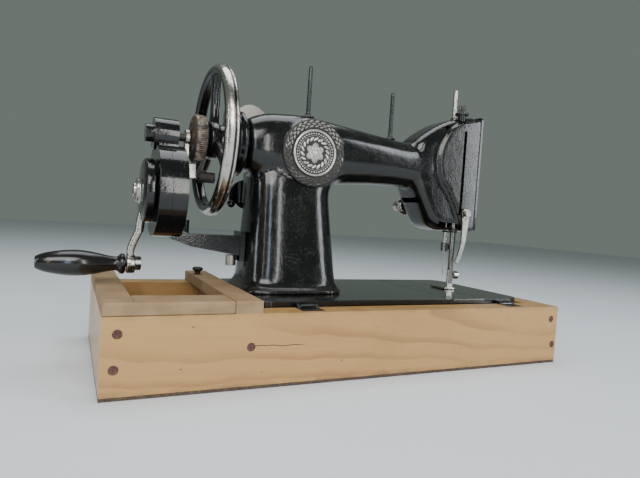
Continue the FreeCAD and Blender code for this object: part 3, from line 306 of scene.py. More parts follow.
def block(low, high):
    """The eight corners of a box as a closed 2 x 4 grid, upright."""
    x0, y0, z0 = low
    x1, y1, z1 = high
    ring = np.array([(x0, y0), (x1, y0), (x1, y1), (x0, y1)], float)
    return np.stack([np.column_stack([ring, np.full(4, z)]) for z in (z0, z1)])


def slab(outline, axis, stations, insets):
    """An outline carried along an axis, drawn in towards its middle by a share at each station."""
    outline = np.asarray(outline, float)
    middle = (outline.max(0) + outline.min(0)) / 2
    half = (outline.max(0) - outline.min(0)) / 2
    shrink = 1 - np.asarray(insets, float)[:, None] / half[None, :]
    flat = middle + (outline - middle)[None] * shrink[:, None]
    where = np.broadcast_to(np.asarray(stations, float)[:, None], flat.shape[:2])
    order = {"x": (where, flat[..., 0], flat[..., 1]), "y": (flat[..., 0], where, flat[..., 1]),
             "z": (flat[..., 0], flat[..., 1], where)}
    return np.stack(order[axis], -1)


# ---- pieces --------------------------------------------------------------------------------

def piece(name, mesh, finishes, body, stands_for=()):
    """Links a mesh as a piece that rides on a body and may stand for CAD nodes."""
    thing = bpy.data.objects.new(name, mesh)
    bpy.context.scene.collection.objects.link(thing)
    for one in finishes:
        mesh.materials.append(finish_named(one))
    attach(thing, body)
    if stands_for:
        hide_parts(*stands_for)
    return thing


def crease(mesh, degrees=38):
    """Keeps the edges sharper than an angle crisp in the shading."""
    mesh.set_sharp_from_angle(angle=math.radians(degrees))


def formed(form, name, finishes, body, stands_for, sharp=None):
    """Makes a form into a piece; edges over sharp degrees, if given, stay crisp."""
    mesh = form.mesh(name)
    if sharp:
        crease(mesh, sharp)
    return piece(name, mesh, finishes, body, stands_for)


def turned(form, profile, at, axis="+x", sides=64, ripple=None, mark=0, ring=False):
    """Adds a turned skin to a form; a ring's profile closes on itself."""
    form.grid(lathe(profile, at, axis, sides, ripple), mark, wrap_rows=ring, ends=False)


def bevelled(thing, width, segments=2, degrees=32):
    """Rounds a piece's edges."""
    bevel = thing.modifiers.new("rounded_edges", "BEVEL")
    bevel.width = width
    bevel.segments = segments
    bevel.limit_method = "ANGLE"
    bevel.angle_limit = math.radians(degrees)
    bevel.harden_normals = True
    bevel.miter_outer = "MITER_ARC"


def own_copy(node_name):
    """A node's mesh as its own, with the doubled points merged and flat faces joined."""
    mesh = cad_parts[node_name].data.copy()
    mesh.materials.clear()
    if "custom_normal" in mesh.attributes:
        mesh.attributes.remove(mesh.attributes["custom_normal"])
    work = bmesh.new()
    work.from_mesh(mesh)
    bmesh.ops.remove_doubles(work, verts=work.verts, dist=0.000003)
    bmesh.ops.dissolve_limit(work, angle_limit=math.radians(0.6), verts=work.verts, edges=work.edges)
    work.to_mesh(mesh)
    work.free()
    mesh.polygons.foreach_set("use_smooth", np.ones(len(mesh.polygons), bool))
    mesh.polygons.foreach_set("material_index", np.zeros(len(mesh.polygons), np.int32))
    return mesh


def softened(node_name, body, finish, width, segments=2):
    """A node's shape with worn, rounded edges."""
    mesh = own_copy(node_name)
    thing = piece("worn_" + node_name, mesh, [finish], body, [node_name])
    bevelled(thing, width, segments)
    return thing


def coat(node_name, finish):
    """Gives a node that keeps its shape a finish of its own."""
    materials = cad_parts[node_name].data.materials
    for index in range(len(materials)):
        materials[index] = finish_named(finish)


def settled(thing):
    """Replaces a piece's mesh with what its modifiers make of it, and drops the modifiers."""
    graph = bpy.context.evaluated_depsgraph_get()
    mesh = bpy.data.meshes.new_from_object(thing.evaluated_get(graph))
    thing.modifiers.clear()
    thing.data = mesh
    return mesh


# ---- finishes ------------------------------------------------------------------------------

class Flow:
    """A socket of a material; arithmetic on it adds Math nodes."""

    def __init__(self, finish, socket):
        self.finish = finish
        self.socket = socket

    def math(self, operation, first, second=0.0):
        return self.finish.add("ShaderNodeMath", {"operation": operation}, {0: first, 1: second})

    def __add__(self, other):
        return self.math("ADD", self, other)

    def __sub__(self, other):
        return self.math("SUBTRACT", self, other)

    def __rsub__(self, other):
        return self.math("SUBTRACT", other, self)

    def __mul__(self, other):
        return self.math("MULTIPLY", self, other)

    __radd__ = __add__
    __rmul__ = __mul__

    def size(self):
        return self.math("ABSOLUTE", self)

    def part(self):
        return self.math("FRACT", self)

    def least(self, other):
        return self.math("MINIMUM", self, other)

    def ramp(self, low, high):
        """0 below low, 1 above high, and a smooth rise between; low above high falls."""
        return self.finish.add("ShaderNodeMapRange", {"interpolation_type": "SMOOTHSTEP"},
                               {"Value": self, "From Min": low, "From Max": high})


class Finish:
    """One material: a Principled shader and the nodes that feed it."""

    def __init__(self, name, **constants):
        self.material = bpy.data.materials.new(name)
        self.material.use_nodes = True
        self.tree = self.material.node_tree
        self.shader = self.tree.nodes["Principled BSDF"]
        for socket, value in constants.items():
            self.shader.inputs[socket.replace("_", " ")].default_value = value
        self.place = self.add("ShaderNodeTexCoord", output="Object")
        self.x = self.add("ShaderNodeSeparateXYZ", inputs={0: self.place}, output="X")
        self.y = self.add("ShaderNodeSeparateXYZ", inputs={0: self.place}, output="Y")
        self.z = self.add("ShaderNodeSeparateXYZ", inputs={0: self.place}, output="Z")

    def add(self, kind, settings=None, inputs=None, output=0):
        """Adds a node: its settings first, then the values or links of its sockets."""
        node = self.tree.nodes.new(kind)
        for key, value in (settings or {}).items():
            setattr(node, key, value)
        for key, value in (inputs or {}).items():
            self.feed(node.inputs[key], value)
        return Flow(self, node.outputs[output])

    def feed(self, socket, value):
        if isinstance(value, Flow):
            self.tree.links.new(value.socket, socket)
        elif isinstance(value, tuple) and len(value) == 3 and socket.type == "RGBA":
            socket.default_value = (*value, 1.0)
        else:
            socket.default_value = value

    def blend(self, share_of_second, first, second):
        return self.add("ShaderNodeMix", {"data_type": "RGBA"},
                        {0: share_of_second, 6: first, 7: second}, 2)

    def stretched(self, scale, turn=(0.0, 0.0, 0.0)):
        return self.add("ShaderNodeMapping",
                        inputs={"Vector": self.place, "Scale": scale, "Rotation": turn})

    def noise(self, scale, detail=4.0, rough=0.55, at=None):
        return self.add("ShaderNodeTexNoise", inputs={"Vector": at or self.place, "Scale": scale,
                                                      "Detail": detail, "Roughness": rough})

    def cells(self, scale, at=None):
        return self.add("ShaderNodeTexVoronoi", inputs={"Vector": at or self.place, "Scale": scale})

    def done(self, colour_value=None, roughness=None, metallic=None, height=None, depth=0.0002,
             coat=None):
        """Feeds the shader; height, if given, makes the bump, depth metres high."""
        given = {"Base Color": colour_value, "Roughness": roughness, "Metallic": metallic,
                 "Coat Weight": coat}
        for socket, value in given.items():
            if value is not None:
                self.feed(self.shader.inputs[socket], value)
        if height is not None:
            bump = self.add("ShaderNodeBump",
                            inputs={"Height": height, "Distance": depth, "Strength": 1.0})
            self.feed(self.shader.inputs["Normal"], bump)
        return self.material


def settings(name):
    return getattr(bpy.context.scene, name)


def tint(value):
    return tuple(value)


def black_enamel(name="black enamel", extra_dirt=0.0):
    """Glossy baked enamel: orange peel, dust in patches, chips and pits down to dark iron."""
    look = settings("sewing_enamel")
    f = Finish(name, Specular_IOR_Level=0.4, Coat_Roughness=0.06, Coat_Weight=0.3)
    dirt = look.dirt + extra_dirt
    dust = f.noise(38, 7, 0.65).ramp(0.66 - 0.3 * dirt, 0.86 - 0.2 * dirt)
    specks = f.noise(1300, 2).ramp(0.62, 0.72) * f.noise(60, 3).ramp(0.40, 0.66)
    pits = f.cells(330).ramp(0.24, 0.05) * f.noise(27, 3).ramp(0.52, 0.60)
    scratches = f.noise(900, 2, at=f.stretched((1.0, 0.05, 0.6))).ramp(0.70, 0.76)
    base = f.blend(dust * 0.26, tint(look.black), tint(look.dust))
    base = f.blend(specks * 0.4, base, (0.13, 0.115, 0.09))
    base = f.blend(pits * 0.6, base, (0.040, 0.030, 0.022))
    rough = 0.11 + dust * 0.16 + specks * 0.2 + pits * 0.3 + scratches * 0.10
    height = f.noise(420, 3) * 0.30 + f.noise(75, 4) * 0.5 - pits * 0.8 + specks * 0.1
    return f.done(base, rough, height=height, depth=0.00034)


def head_enamel():
    """The casting's enamel. On the flat back face of the head the dust colour also stands in for a painted
    reflection of the green-brown room, with worn patches; the foot is worn brown.
    """
    look = settings("sewing_enamel")
    f = Finish("casting enamel", Specular_IOR_Level=0.4, Coat_Roughness=0.06, Coat_Weight=0.3)
    # Mask of the flat back face: used below for the painted reflection, and for wear, specks and
    # roughness.
    face = f.y.ramp(0.0225, 0.0236) * f.x.ramp(-0.080, -0.088)
    foot = f.z.ramp(0.094, 0.080)
    dust = f.noise(38, 7, 0.65).ramp(0.57, 0.80)
    specks = f.noise(1100, 2).ramp(0.60, 0.70) * (f.noise(55, 3).ramp(0.42, 0.66) + face * 0.3).least(1.0)
    pits = f.cells(330).ramp(0.24, 0.05) * f.noise(27, 3).ramp(0.50, 0.58)
    bare = (f.noise(190, 5, 0.7) + face * 0.10 + foot * 0.12).ramp(0.66, 0.74) * (face + foot * 0.6)
    # Painted reflection: the flat back face is mixed toward the dust colour to stand for the green-brown
    # room it mirrors; the foot's share is dust and wear.
    base = f.blend((dust * 0.5 + face * 0.30 + foot * 0.3).least(1.0) * 0.36,
                   tint(look.black), tint(look.dust))
    base = f.blend((specks * 0.6 + bare * 0.5).least(1.0) * 0.5, base, (0.14, 0.12, 0.085))
    base = f.blend(pits * 0.6, base, (0.040, 0.030, 0.022))
    rough = 0.11 + dust * 0.14 + face * 0.06 + foot * 0.08 + specks * 0.18 + pits * 0.3
    height = f.noise(420, 3) * 0.42 + f.noise(75, 4) * 0.6 - pits * 0.9 - specks * 0.25 + bare * 0.1
    return f.done(base, rough, height=height, depth=0.00042)


def plated(name, wear, scale=1.0, dull=0.0, tone=1.0):
    """Nickel plate with rust in patches and pits, and fine rubbing marks."""
    look = settings("sewing_metal")
    f = Finish(name, Specular_IOR_Level=0.5)
    spread = f.noise(34 * scale, 7, 0.68) + f.noise(260 * scale, 3) * 0.25
    patch = spread.ramp(0.78 - 0.25 * wear, 0.92 - 0.18 * wear)
    pitted = f.noise(48 * scale, 3).ramp(0.56 - 0.14 * wear, 0.62 - 0.1 * wear)
    pits = f.cells(420 * scale).ramp(0.20, 0.06) * pitted
    film = f.noise(14 * scale, 4).ramp(0.40, 0.72)
    nickel = f.blend(film * 0.6, tuple(tone * part for part in look.nickel),
                     tuple(tone * part for part in (0.33, 0.29, 0.23)))
    base = f.blend(patch * 0.85, nickel, tint(look.rust))
    base = f.blend(pits * 0.9, base, (0.035, 0.022, 0.015))
    rubbed = f.noise(700, 2, at=f.stretched((0.15, 1.0, 1.0))).ramp(0.45, 0.75)
    rough = 0.17 + dull + film * 0.10 + rubbed * 0.07 + patch * 0.42 + pits * 0.35
    metal = 1 - patch * 0.75
    height = patch * f.noise(600, 4) * 0.8 - pits * 0.9 + rubbed * 0.05
    return f.done(base, rough, metal, height, 0.00016)


def dark_iron():
    """Iron darkened with old oil, with thin rust at the rubbed places."""
    f = Finish("dark iron", Specular_IOR_Level=0.5)
    rust = f.noise(70, 6, 0.65).ramp(0.52, 0.72)
    grit = f.noise(900, 3).ramp(0.35, 0.75)
    base = f.blend(rust * 0.7, (0.045, 0.043, 0.040), (0.11, 0.060, 0.034))
    return f.done(f.blend(grit * 0.3, base, (0.085, 0.08, 0.07)), 0.34 + rust * 0.28 + grit * 0.1,
                  0.75 - rust * 0.5, grit * 0.4 + rust * 0.4, 0.00012)


def knurled_iron():
    """The clutch knob: brown-black, rubbed bright on the crests of the knurl."""
    f = Finish("knurled iron", Specular_IOR_Level=0.5)
    arm = f.add("ShaderNodeCombineXYZ", inputs={"Y": f.y - SHAFT_Y * MM, "Z": f.z - SHAFT_Z * MM})
    away = f.add("ShaderNodeVectorMath", {"operation": "LENGTH"}, {0: arm}, "Value")
    crest = away.ramp(0.0249, 0.0262) * f.noise(160, 4).ramp(0.35, 0.62)
    rust = f.noise(95, 5, 0.65).ramp(0.42, 0.66)
    base = f.blend(rust * 0.8, (0.028, 0.025, 0.022), (0.085, 0.048, 0.028))
    base = f.blend(crest * 0.75, base, (0.40, 0.34, 0.27))
    return f.done(base, 0.36 + rust * 0.25, crest * 0.7 + 0.2, f.noise(800, 3), 0.00008)


def pine(name, light, grain, varnish, seed, tilt):
    """Sawn pine with its grain along one way: growth rings about a tree axis that leans from
    the board, so the dark late wood shows as long shallow arches; fibres, stains, dents, painted
    shade with grime along the boards' bottom edge, and half as much darkening towards their top edge."""
    f = Finish(name, Specular_IOR_Level=0.4 if varnish else 0.25)
    sway = f.noise(5.5, 3, 0.5, at=f.stretched((1.0, 0.35, 0.35)))
    wobble = f.noise(24, 3, 0.5, at=f.stretched((1.0, 0.6, 0.6)))
    depth = f.y + f.x * tilt + seed
    height = f.z - 0.092 + sway * 0.040 + wobble * 0.006
    out = f.add("ShaderNodeCombineXYZ", inputs={"Y": depth, "Z": height})
    ring = f.add("ShaderNodeVectorMath", {"operation": "LENGTH"}, {0: out}, "Value")
    year = (ring * 72.0).part()
    late = year.ramp(0.55, 0.90) * year.ramp(1.0, 0.955)
    shown = f.noise(7, 3, at=f.stretched((0.5, 1.0, 1.6))).ramp(0.40, 0.66)
    fibre = f.noise(420, 4, 0.6, at=f.stretched((0.035, 1.0, 1.0)))
    stain = f.noise(9, 6, 0.6).ramp(0.48, 0.78)
    dents = f.cells(60, at=f.stretched((1.0, 1.0, 1.4))).ramp(0.10, 0.03) * f.noise(12, 2).ramp(0.5, 0.6)
    # Painted shade with grime: darker towards the bottom edge, where the boards meet the floor, and half
    # as much towards the top edge.
    edge_shade_and_grime = f.z.ramp(0.012, 0.0) + f.z.ramp(0.066, 0.0745) * 0.5
    base = f.blend(late * (0.08 + shown * 0.42), light, grain)
    base = f.blend(fibre.ramp(0.42, 0.75) * 0.20, base, tuple(0.62 * c for c in light))
    base = f.blend(stain * 0.30, base, tuple(0.60 * c for c in light))
    grime = (edge_shade_and_grime * f.noise(45, 5).ramp(0.35, 0.65)).least(1.0)
    # Mixes in the dark brown of the painted shade and grime, broken into noisy patches.
    base = f.blend(grime * 0.55, base, (0.10, 0.062, 0.032))
    crack = (f.z - 0.0412 + (f.noise(60, 3) - 0.5) * 0.006).size().ramp(0.0007, 0.0002)
    crack = crack * f.x.ramp(0.135, 0.150) * f.x.ramp(0.197, 0.190) * f.y.ramp(0.115, 0.119)
    base = f.blend((crack + dents * 0.5).least(1.0) * 0.85, base, (0.045, 0.026, 0.014))
    rough = (0.40 if varnish else 0.72) + late * 0.06 + stain * 0.12 - fibre * 0.06
    relief = fibre * 0.35 - late * 0.22 - dents * 0.8 - crack * 1.5
    return f.done(base, rough, height=relief, depth=0.00028 if varnish else 0.0004,
                  coat=(0.32 - stain * 0.2) if varnish else None)


def varnished_wood():
    look = settings("sewing_wood")
    return pine("varnished pine", tint(look.honey), tint(look.grain), True, -0.078, 0.065)


def raw_wood():
    look = settings("sewing_wood")
    return pine("bare pine", tint(look.grey_wood), (0.14, 0.085, 0.045), False, -0.120, 0.03)


def fibreboard():
    f = Finish("dark fibreboard")
    mottle = f.noise(260, 5, 0.7)
    base = f.blend(mottle.ramp(0.35, 0.7), (0.050, 0.031, 0.021), (0.115, 0.073, 0.046))
    return f.done(base, 0.78 - mottle * 0.1, height=mottle, depth=0.0003)


def rusty_screws():
    f = Finish("rusted screw")
    rust = f.noise(420, 6, 0.7)
    base = f.blend(rust.ramp(0.3, 0.7), (0.050, 0.024, 0.026), (0.185, 0.085, 0.060))
    return f.done(base, 0.62 + rust * 0.2, 0.25 + rust * 0.15, rust, 0.0003)


def aged_silver():
    """Silvered relief: bright on the heights, brown-black patina left in the hollows."""
    f = Finish("aged silver", Specular_IOR_Level=0.5)
    high = (f.y + f.noise(500, 3) * 0.0006).ramp(0.0315, 0.0328)
    grime = f.noise(120, 5, 0.65).ramp(0.40, 0.72)
    base = f.blend(high * (1 - grime * 0.45), (0.035, 0.032, 0.026), (0.66, 0.64, 0.60))
    return f.done(base, 0.62 - high * 0.32 + grime * 0.12, 0.45 + high * 0.5, f.noise(1100, 3), 0.00008)


def wreath_cover():
    """The rear cover: black in the ground, rubbed to silver on the leaves, more at the top."""
    f = Finish("rubbed wreath", Specular_IOR_Level=0.5)
    worn = f.noise(70, 5, 0.65) + f.z.ramp(0.225, 0.275) * 0.22
    high = (f.y + f.noise(600, 3) * 0.0005).ramp(0.0318, 0.0324) * worn.ramp(0.48, 0.70)
    grit = f.noise(900, 3)
    base = f.blend(grit.ramp(0.35, 0.75), (0.018, 0.018, 0.017), (0.075, 0.072, 0.064))
    base = f.blend(high * 0.9, base, (0.52, 0.49, 0.45))
    return f.done(base, 0.40 + grit * 0.25 - high * 0.1, 0.3 + high * 0.65, grit, 0.0002)


def black_grip():
    f = Finish("black lacquer", Coat_Weight=0.3, Coat_Roughness=0.08, Specular_IOR_Level=0.4)
    rubbed = f.noise(45, 6, 0.65).ramp(0.58, 0.78)
    nicks = f.cells(260, at=f.stretched((0.4, 1.0, 1.0))).ramp(0.13, 0.05) * f.noise(40, 2).ramp(0.5, 0.6)
    base = f.blend(rubbed * 0.6, (0.0075, 0.0068, 0.0065), (0.035, 0.022, 0.015))
    base = f.blend(nicks, base, (0.085, 0.055, 0.035))
    return f.done(base, 0.20 + rubbed * 0.2 + nicks * 0.3,
                  height=f.noise(200, 3) * 0.2 - nicks, depth=0.0001)


def leather_pad():
    f = Finish("oiled leather")
    grain = f.cells(900)
    base = f.blend(f.noise(300, 4).ramp(0.3, 0.7), (0.012, 0.010, 0.009), (0.034, 0.026, 0.020))
    return f.done(base, 0.58 + f.noise(500, 2) * 0.15, height=grain, depth=0.0002)


def winder_rubber():
    f = Finish("perished rubber")
    craze = f.cells(700).ramp(0.0, 0.3)
    return f.done(f.blend(craze, (0.020, 0.019, 0.018), (0.050, 0.047, 0.043)), 0.72 + craze * 0.1,
                  height=craze, depth=0.00015)


def bed_enamel():
    """The bed: the same enamel, duller and dustier all over."""
    return black_enamel("bed enamel", 0.12)


def floor_cloth():
    """The floor: plain and pale, with a faint woven grain."""
    f = Finish("pale floor", Specular_IOR_Level=0.2)
    pale = tint(settings("sewing_stage").floor)
    fluff = f.noise(260, 5, 0.65)
    base = f.blend(fluff.ramp(0.3, 0.75) * 0.2, pale, tuple(0.86 * c for c in pale))
    return f.done(base, 0.9 - fluff * 0.05, height=fluff, depth=0.0004)


MAKERS = {
    "black_enamel": black_enamel,
    "casting_enamel": head_enamel,
    "bed_enamel": bed_enamel,
    "wheel_enamel": lambda: black_enamel("wheel enamel", 0.08),
    "wheel_rim": lambda: plated("wheel rim plating", settings("sewing_metal").wear),
    "bright_nickel": lambda: plated("bright nickel", 0.16, 1.6, 0.03, 0.85),
    "polished_steel": lambda: plated("worn steel", 0.32, 1.8, 0.10, 0.8),
    # Painted reflection: the plates' nickel is toned down to a third so that they read dark, as mirrors of
    # the dark surroundings.
    "plates_with_painted_dark_reflection": lambda: plated("plates with painted dark reflection", 0.12, 1.4, -0.05, 0.34),
    "blued_steel": lambda: black_enamel("blackened steel", 0.2),
    "dark_iron": dark_iron,
    "knurled_iron": knurled_iron,
    "varnished_wood": varnished_wood,
    "raw_wood": raw_wood,
    "fibreboard": fibreboard,
    "rusty_screws": rusty_screws,
    "aged_silver": aged_silver,
    "black_cover": wreath_cover,
    "black_grip": black_grip,
    "leather_pad": leather_pad,
    "winder_rubber": winder_rubber,
    "floor": floor_cloth,
}
MADE = {}


def finish_named(name):
    """The material of that name, made when it is first asked for."""
    if name not in MADE:
        MADE[name] = MAKERS[name]()
    return MADE[name]


# ---- operators -----------------------------------------------------------------------------

class SewingBoards(bpy.types.Operator):
    """Boards, panel, ledges, strips and cross bar of the base, their edges worn round"""
    bl_idname = "sewing.boards"
    bl_label = "Wooden base"

    def execute(self, context):
        edge = context.scene.sewing_wood.edge
        for node_name in ("base_rear_board", "base_front_board", "base_end_boards"):
            softened(node_name, "base", "varnished_wood", edge, 3)
        for node_name in ("base_partition_and_ledges", "compartment_strips", "base_cross_bar"):
            softened(node_name, "base", "raw_wood", edge * 1.2, 3)
        softened("base_bottom_panel", "base", "fibreboard", edge * 0.5)
        return {"FINISHED"}


def slotted_head(at, axis, radius, rise, slot, turn, sides=36):
    """A round screw head: a low dome whose height falls to the slot's floor within half a
    slot's width of a line across it."""
    rings = np.array([0, 0.25, 0.5, 0.72, 0.88, 0.97, 1.0, 1.0]) * radius
    heights = rise * np.array([1, 0.99, 0.96, 0.88, 0.72, 0.45, 0.15, -0.6])

    def cut_slot(r, h, angle):
        away = np.abs(r * np.sin(angle + turn))
        inside = (away < slot) & (h > 0)
        return np.zeros_like(r), np.where(inside, rise * 0.25 - h, 0)

    return lathe(np.column_stack([rings, heights])[::-1], at, axis, sides, cut_slot)


class SewingBaseScrews(bpy.types.Operator):
    """Rusted wood screws and nail heads of the base"""
    bl_idname = "sewing.base_screws"
    bl_label = "Base screws"

    def execute(self, context):
        low, high = ends("base_screws")
        form = Form()
        mesh = own_copy("base_screws")
        points = np.empty(len(mesh.vertices) * 3)
        mesh.vertices.foreach_get("co", points)
        points = points.reshape(-1, 3) / MM
        bpy.data.meshes.remove(mesh)
        apart, sunk = 14, 0.5
        for side, axis in ((low[1], "-y"), (high[1], "+y")):
            outer = points[np.abs(points[:, 1] - side) < 0.2][:, [0, 2]]
            spots = np.unique(np.round(outer / apart) * apart, axis=0)
            for index, spot in enumerate(spots):
                near = outer[np.linalg.norm(outer - spot, axis=1) < apart]
                if len(near):
                    x, z = (near.max(0) + near.min(0)) / 2
                    at = (x, side - math.copysign(sunk, side), z)
                    form.grid(slotted_head(at, axis, 4.4, 0.45, 0.6, 0.9 * index + 0.4), ends=False)
                    form.grid(lathe([(0, -20), (2, -16), (4.3, -0.5), (0, -0.5)], at, axis, 20))
        nail = [(0, -2), (1.1, -2), (1.1, -0.05), (0.7, 0.0), (0, 0.0)]
        for x, z in ((253, 62), (98, 22), (-60, 26), (-130, 60), (262, 24)):
            form.grid(lathe(nail, (x, high[1], z), "+y", 14))
        formed(form, "rusted_base_screws", ["rusty_screws"], "base", ["base_screws"])
        return {"FINISHED"}


class SewingBaseFittings(bpy.types.Operator):
    """Hinges of the head and the turning knob on the cross bar"""
    bl_idname = "sewing.base_fittings"
    bl_label = "Hinges and knob"

    def execute(self, context):
        softened("base_hinges", "base", "dark_iron", 0.0005)
        low, high = ends("cross_bar_knob")
        x, y = (low[:2] + high[:2]) / 2
        profile = soft_corners([(0, 0), (2.5, 0), (2.5, 12.2), (3.8, 12.2), (3.6, 15.6), (5.6, 16.6),
                                (7.0, 18.2), (6.7, 20.2), (4.4, 21.4), (0, 21.5)], 0.7)
        form = Form()
        form.grid(lathe(profile * [1, (high[2] - low[2]) / 21.5], (x, y, low[2]), "+z", 40))
        formed(form, "turned_latch_knob", ["dark_iron"], "latch", ["cross_bar_knob"])
        return {"FINISHED"}


class SewingBed(bpy.types.Operator):
    """Bed and slide plates with rounded edges, and the needle plate's finish"""
    bl_idname = "sewing.bed"
    bl_label = "Bed and plates"

    def execute(self, context):
        softened("bed", "head", "bed_enamel", 0.0009, 3)
        coat("needle_plate", "plates_with_painted_dark_reflection")
        for side in ("front_slide", "rear_slide"):
            softened(side + "_plate", side, "plates_with_painted_dark_reflection", 0.0003)
        return {"FINISHED"}


# Stations of the arm: x, height of the middle, half height, half depth.
ARM = [(178, 247, 29, 26), (172, 247, 33, 28.5), (150, 247, 40, 31), (105, 246, 44, 31),
       (60, 248, 38, 29), (0, 247.5, 32.3, 26), (-50, 246, 30, 24), (-78, 247, 33, 24)]
# Stations of foot and pillar: height, x from, x to, y from, y to, squareness of the corners.
PILLAR = [(81, 54, 180, -55, 48, 5.0), (85, 56, 178, -53, 45.5, 4.3),
          (91, 58.5, 175, -50.2, 42.2, 3.8), (100, 60, 174.1, -48.8, 40.6, 3.5),
          (125, 62.5, 173, -46.4, 37.4, 3.3), (160, 66.5, 171.4, -42.8, 33.2, 3.2),
          (190, 69.5, 170, -39.8, 29.6, 3.1), (204, 68, 169.3, -38.4, 27.8, 3.1),
          (211, 62, 169, -37.6, 26.6, 3.1), (217, 52, 168.6, -36.4, 25.4, 3.0),
          (222, 38, 168.4, -35.0, 24, 3.0), (226, 20, 168.2, -33.6, 22.6, 2.8),
          (232, 6, 168, -31, 20, 2.6), (250, 6, 166, -28, 17, 2.5)]
# Outlines of the head and of its flat back face, as x and height.
HEAD = [(-155, 161), (-98, 161), (-83, 167.5), (-73, 183), (-61, 205), (-52, 224), (-52, 277), (-67, 290),
        (-86, 303), (-104, 312), (-119, 317.3), (-140, 321.8), (-155, 323)]
BACK_FACE = [(-155, 161.6), (-133, 161.6), (-129, 175), (-119, 195), (-107, 214), (-95, 227), (-89, 240),
             (-86, 256), (-89, 274), (-97, 290), (-104, 301), (-120, 309), (-146, 315.5), (-155, 317)]


def casting_skin():
    """Closed skins of foot, pillar, arm, head and cover seat, overlapping, as one mesh."""
    form = Form()
    arm = smooth_path(ARM, 9)
    a, b = squared_ring(arm[:, 3:4], arm[:, 2:3], 2.2, 110)
    form.grid(np.stack([np.broadcast_to(arm[:, :1], a.shape), SHAFT_Y + a, arm[:, 1:2] + b], -1))
    pillar = smooth_path(PILLAR, 5)
    half_x, half_y = (pillar[:, 2:3] - pillar[:, 1:2]) / 2, (pillar[:, 4:5] - pillar[:, 3:4]) / 2
    a, b = squared_ring(half_x, half_y, pillar[:, 5:6], 120)
    form.grid(np.stack([pillar[:, 1:2] + half_x + a, pillar[:, 3:4] + half_y + b,
                        np.broadcast_to(pillar[:, :1], a.shape)], -1))
    rim = np.array([(79.0, 62.5, 53.5), (82.4, 62.5, 53.5), (83.5, 61.9, 52.9), (84.0, 60.7, 51.7)])
    a, b = squared_ring(rim[:, 1:2], rim[:, 2:3], 4.6, 120)
    form.grid(np.stack([119.5 + a, -3.5 + b, np.broadcast_to(rim[:, :1], a.shape)], -1))
    outline = soft_corners(HEAD, 9, True, 4)
    body = slab(outline, "y", [-34, -33.2, -31.5, -28.5, -24, 6, 10, 13.5, 16.5, 18.5, 19.5],
                [6.5, 3.8, 1.9, 0.6, 0, 0, 0.7, 2.2, 5.0, 9.0, 14.0])
    body[:, outline[:, 0] < -154.4, 0] = -155
    form.grid(body)
    outline = soft_corners(BACK_FACE, 5, True, 4)
    back = slab(outline, "y", [-8, 21.6, 22.8, 23.6, 24], [0, 0, 0.25, 0.9, 2.0])
    back[:, outline[:, 0] < -154.4, 0] = -155
    form.grid(back)
    form.grid(lathe([(38.4, -2), (38.4, 24), (38.0, 26.3), (36.8, 27.4)],
                    (COVER_X, 0, COVER_Z), "+y", 96))
    form.grid(lathe([(12.5, -10), (12.5, 4.2), (11.5, 5.2), (7, 5.4)], (165.2, SHAFT_Y, 180), "+x", 48))
    return form.mesh("arm_casting_skin")


def casting_rooms():
    """Solids that the casting is hollowed by: head, slots, pillar, shaft and bores."""
    solids = [block((-160, -29, 166), (-96, 19, 303)), block((-98, -27, 197), (-62, 11, 261)),
              block((-129, 15, 184), (-124.5, 26, 299)), block((-130, -40, 188), (-122, -25, 292)),
              block((82, -28, 70), (152, 20, 253)),
              lathe([(9, -64), (9, 104)], (0, SHAFT_Y, SHAFT_Z), "+x", 48),
              lathe([(20, 100), (20, 152)], (0, SHAFT_Y, SHAFT_Z), "+x", 64),
              lathe([(14, 140), (14, 190)], (0, SHAFT_Y, SHAFT_Z), "+x", 48),
              lathe([(30, 10), (30, 40)], (COVER_X, 0, COVER_Z), "+y", 64),
              lathe([(5, 150), (5, 330)], (NEEDLE_X, SHAFT_Y, 0), "+z", 32),
              lathe([(5.5, 150), (5.5, 330)], (NEEDLE_X, PRESSER_Y, 0), "+z", 32),
              lathe([(1.6, 12), (1.6, 40)], (-27.4, 0, 249.6), "+y", 20)]
    made = []
    for index, points in enumerate(solids):
        form = Form()
        form.grid(points)
        thing = bpy.data.objects.new("room_%d" % index, form.mesh("room_%d" % index))
        bpy.context.scene.collection.objects.link(thing)
        made.append(thing)
    return made


def blend_weights(points):
    """How strongly each point is softened: most where pillar meets arm, some round the foot and
    the arm's root in the head, none on the flat back face, the end or the foot's rim."""
    x, y, z = (points / MM).T
    near_arm = np.exp(-((z - 214) / 17) ** 2) * (x > 0) * (x < 185) * (y < 27)
    near_foot = np.exp(-((z - 88) / 5) ** 2) * 0.5
    near_head = np.exp(-((x + 66) / 20) ** 2) * 0.9
    edge = np.exp(-((x + 92) / 9) ** 2) * (y > 8) * (y < 23.4) * 0.5
    weight = np.maximum.reduce([near_arm, near_foot, near_head, edge, np.full_like(x, 0.03)])
    weight[(x < -148) | (z < 84.6) | ((y > 23.5) & (x < -80))] = 0
    collar = np.hypot(x - COVER_X, z - COVER_Z)
    weight[(collar < 41) & (y > 17)] = 0
    return weight


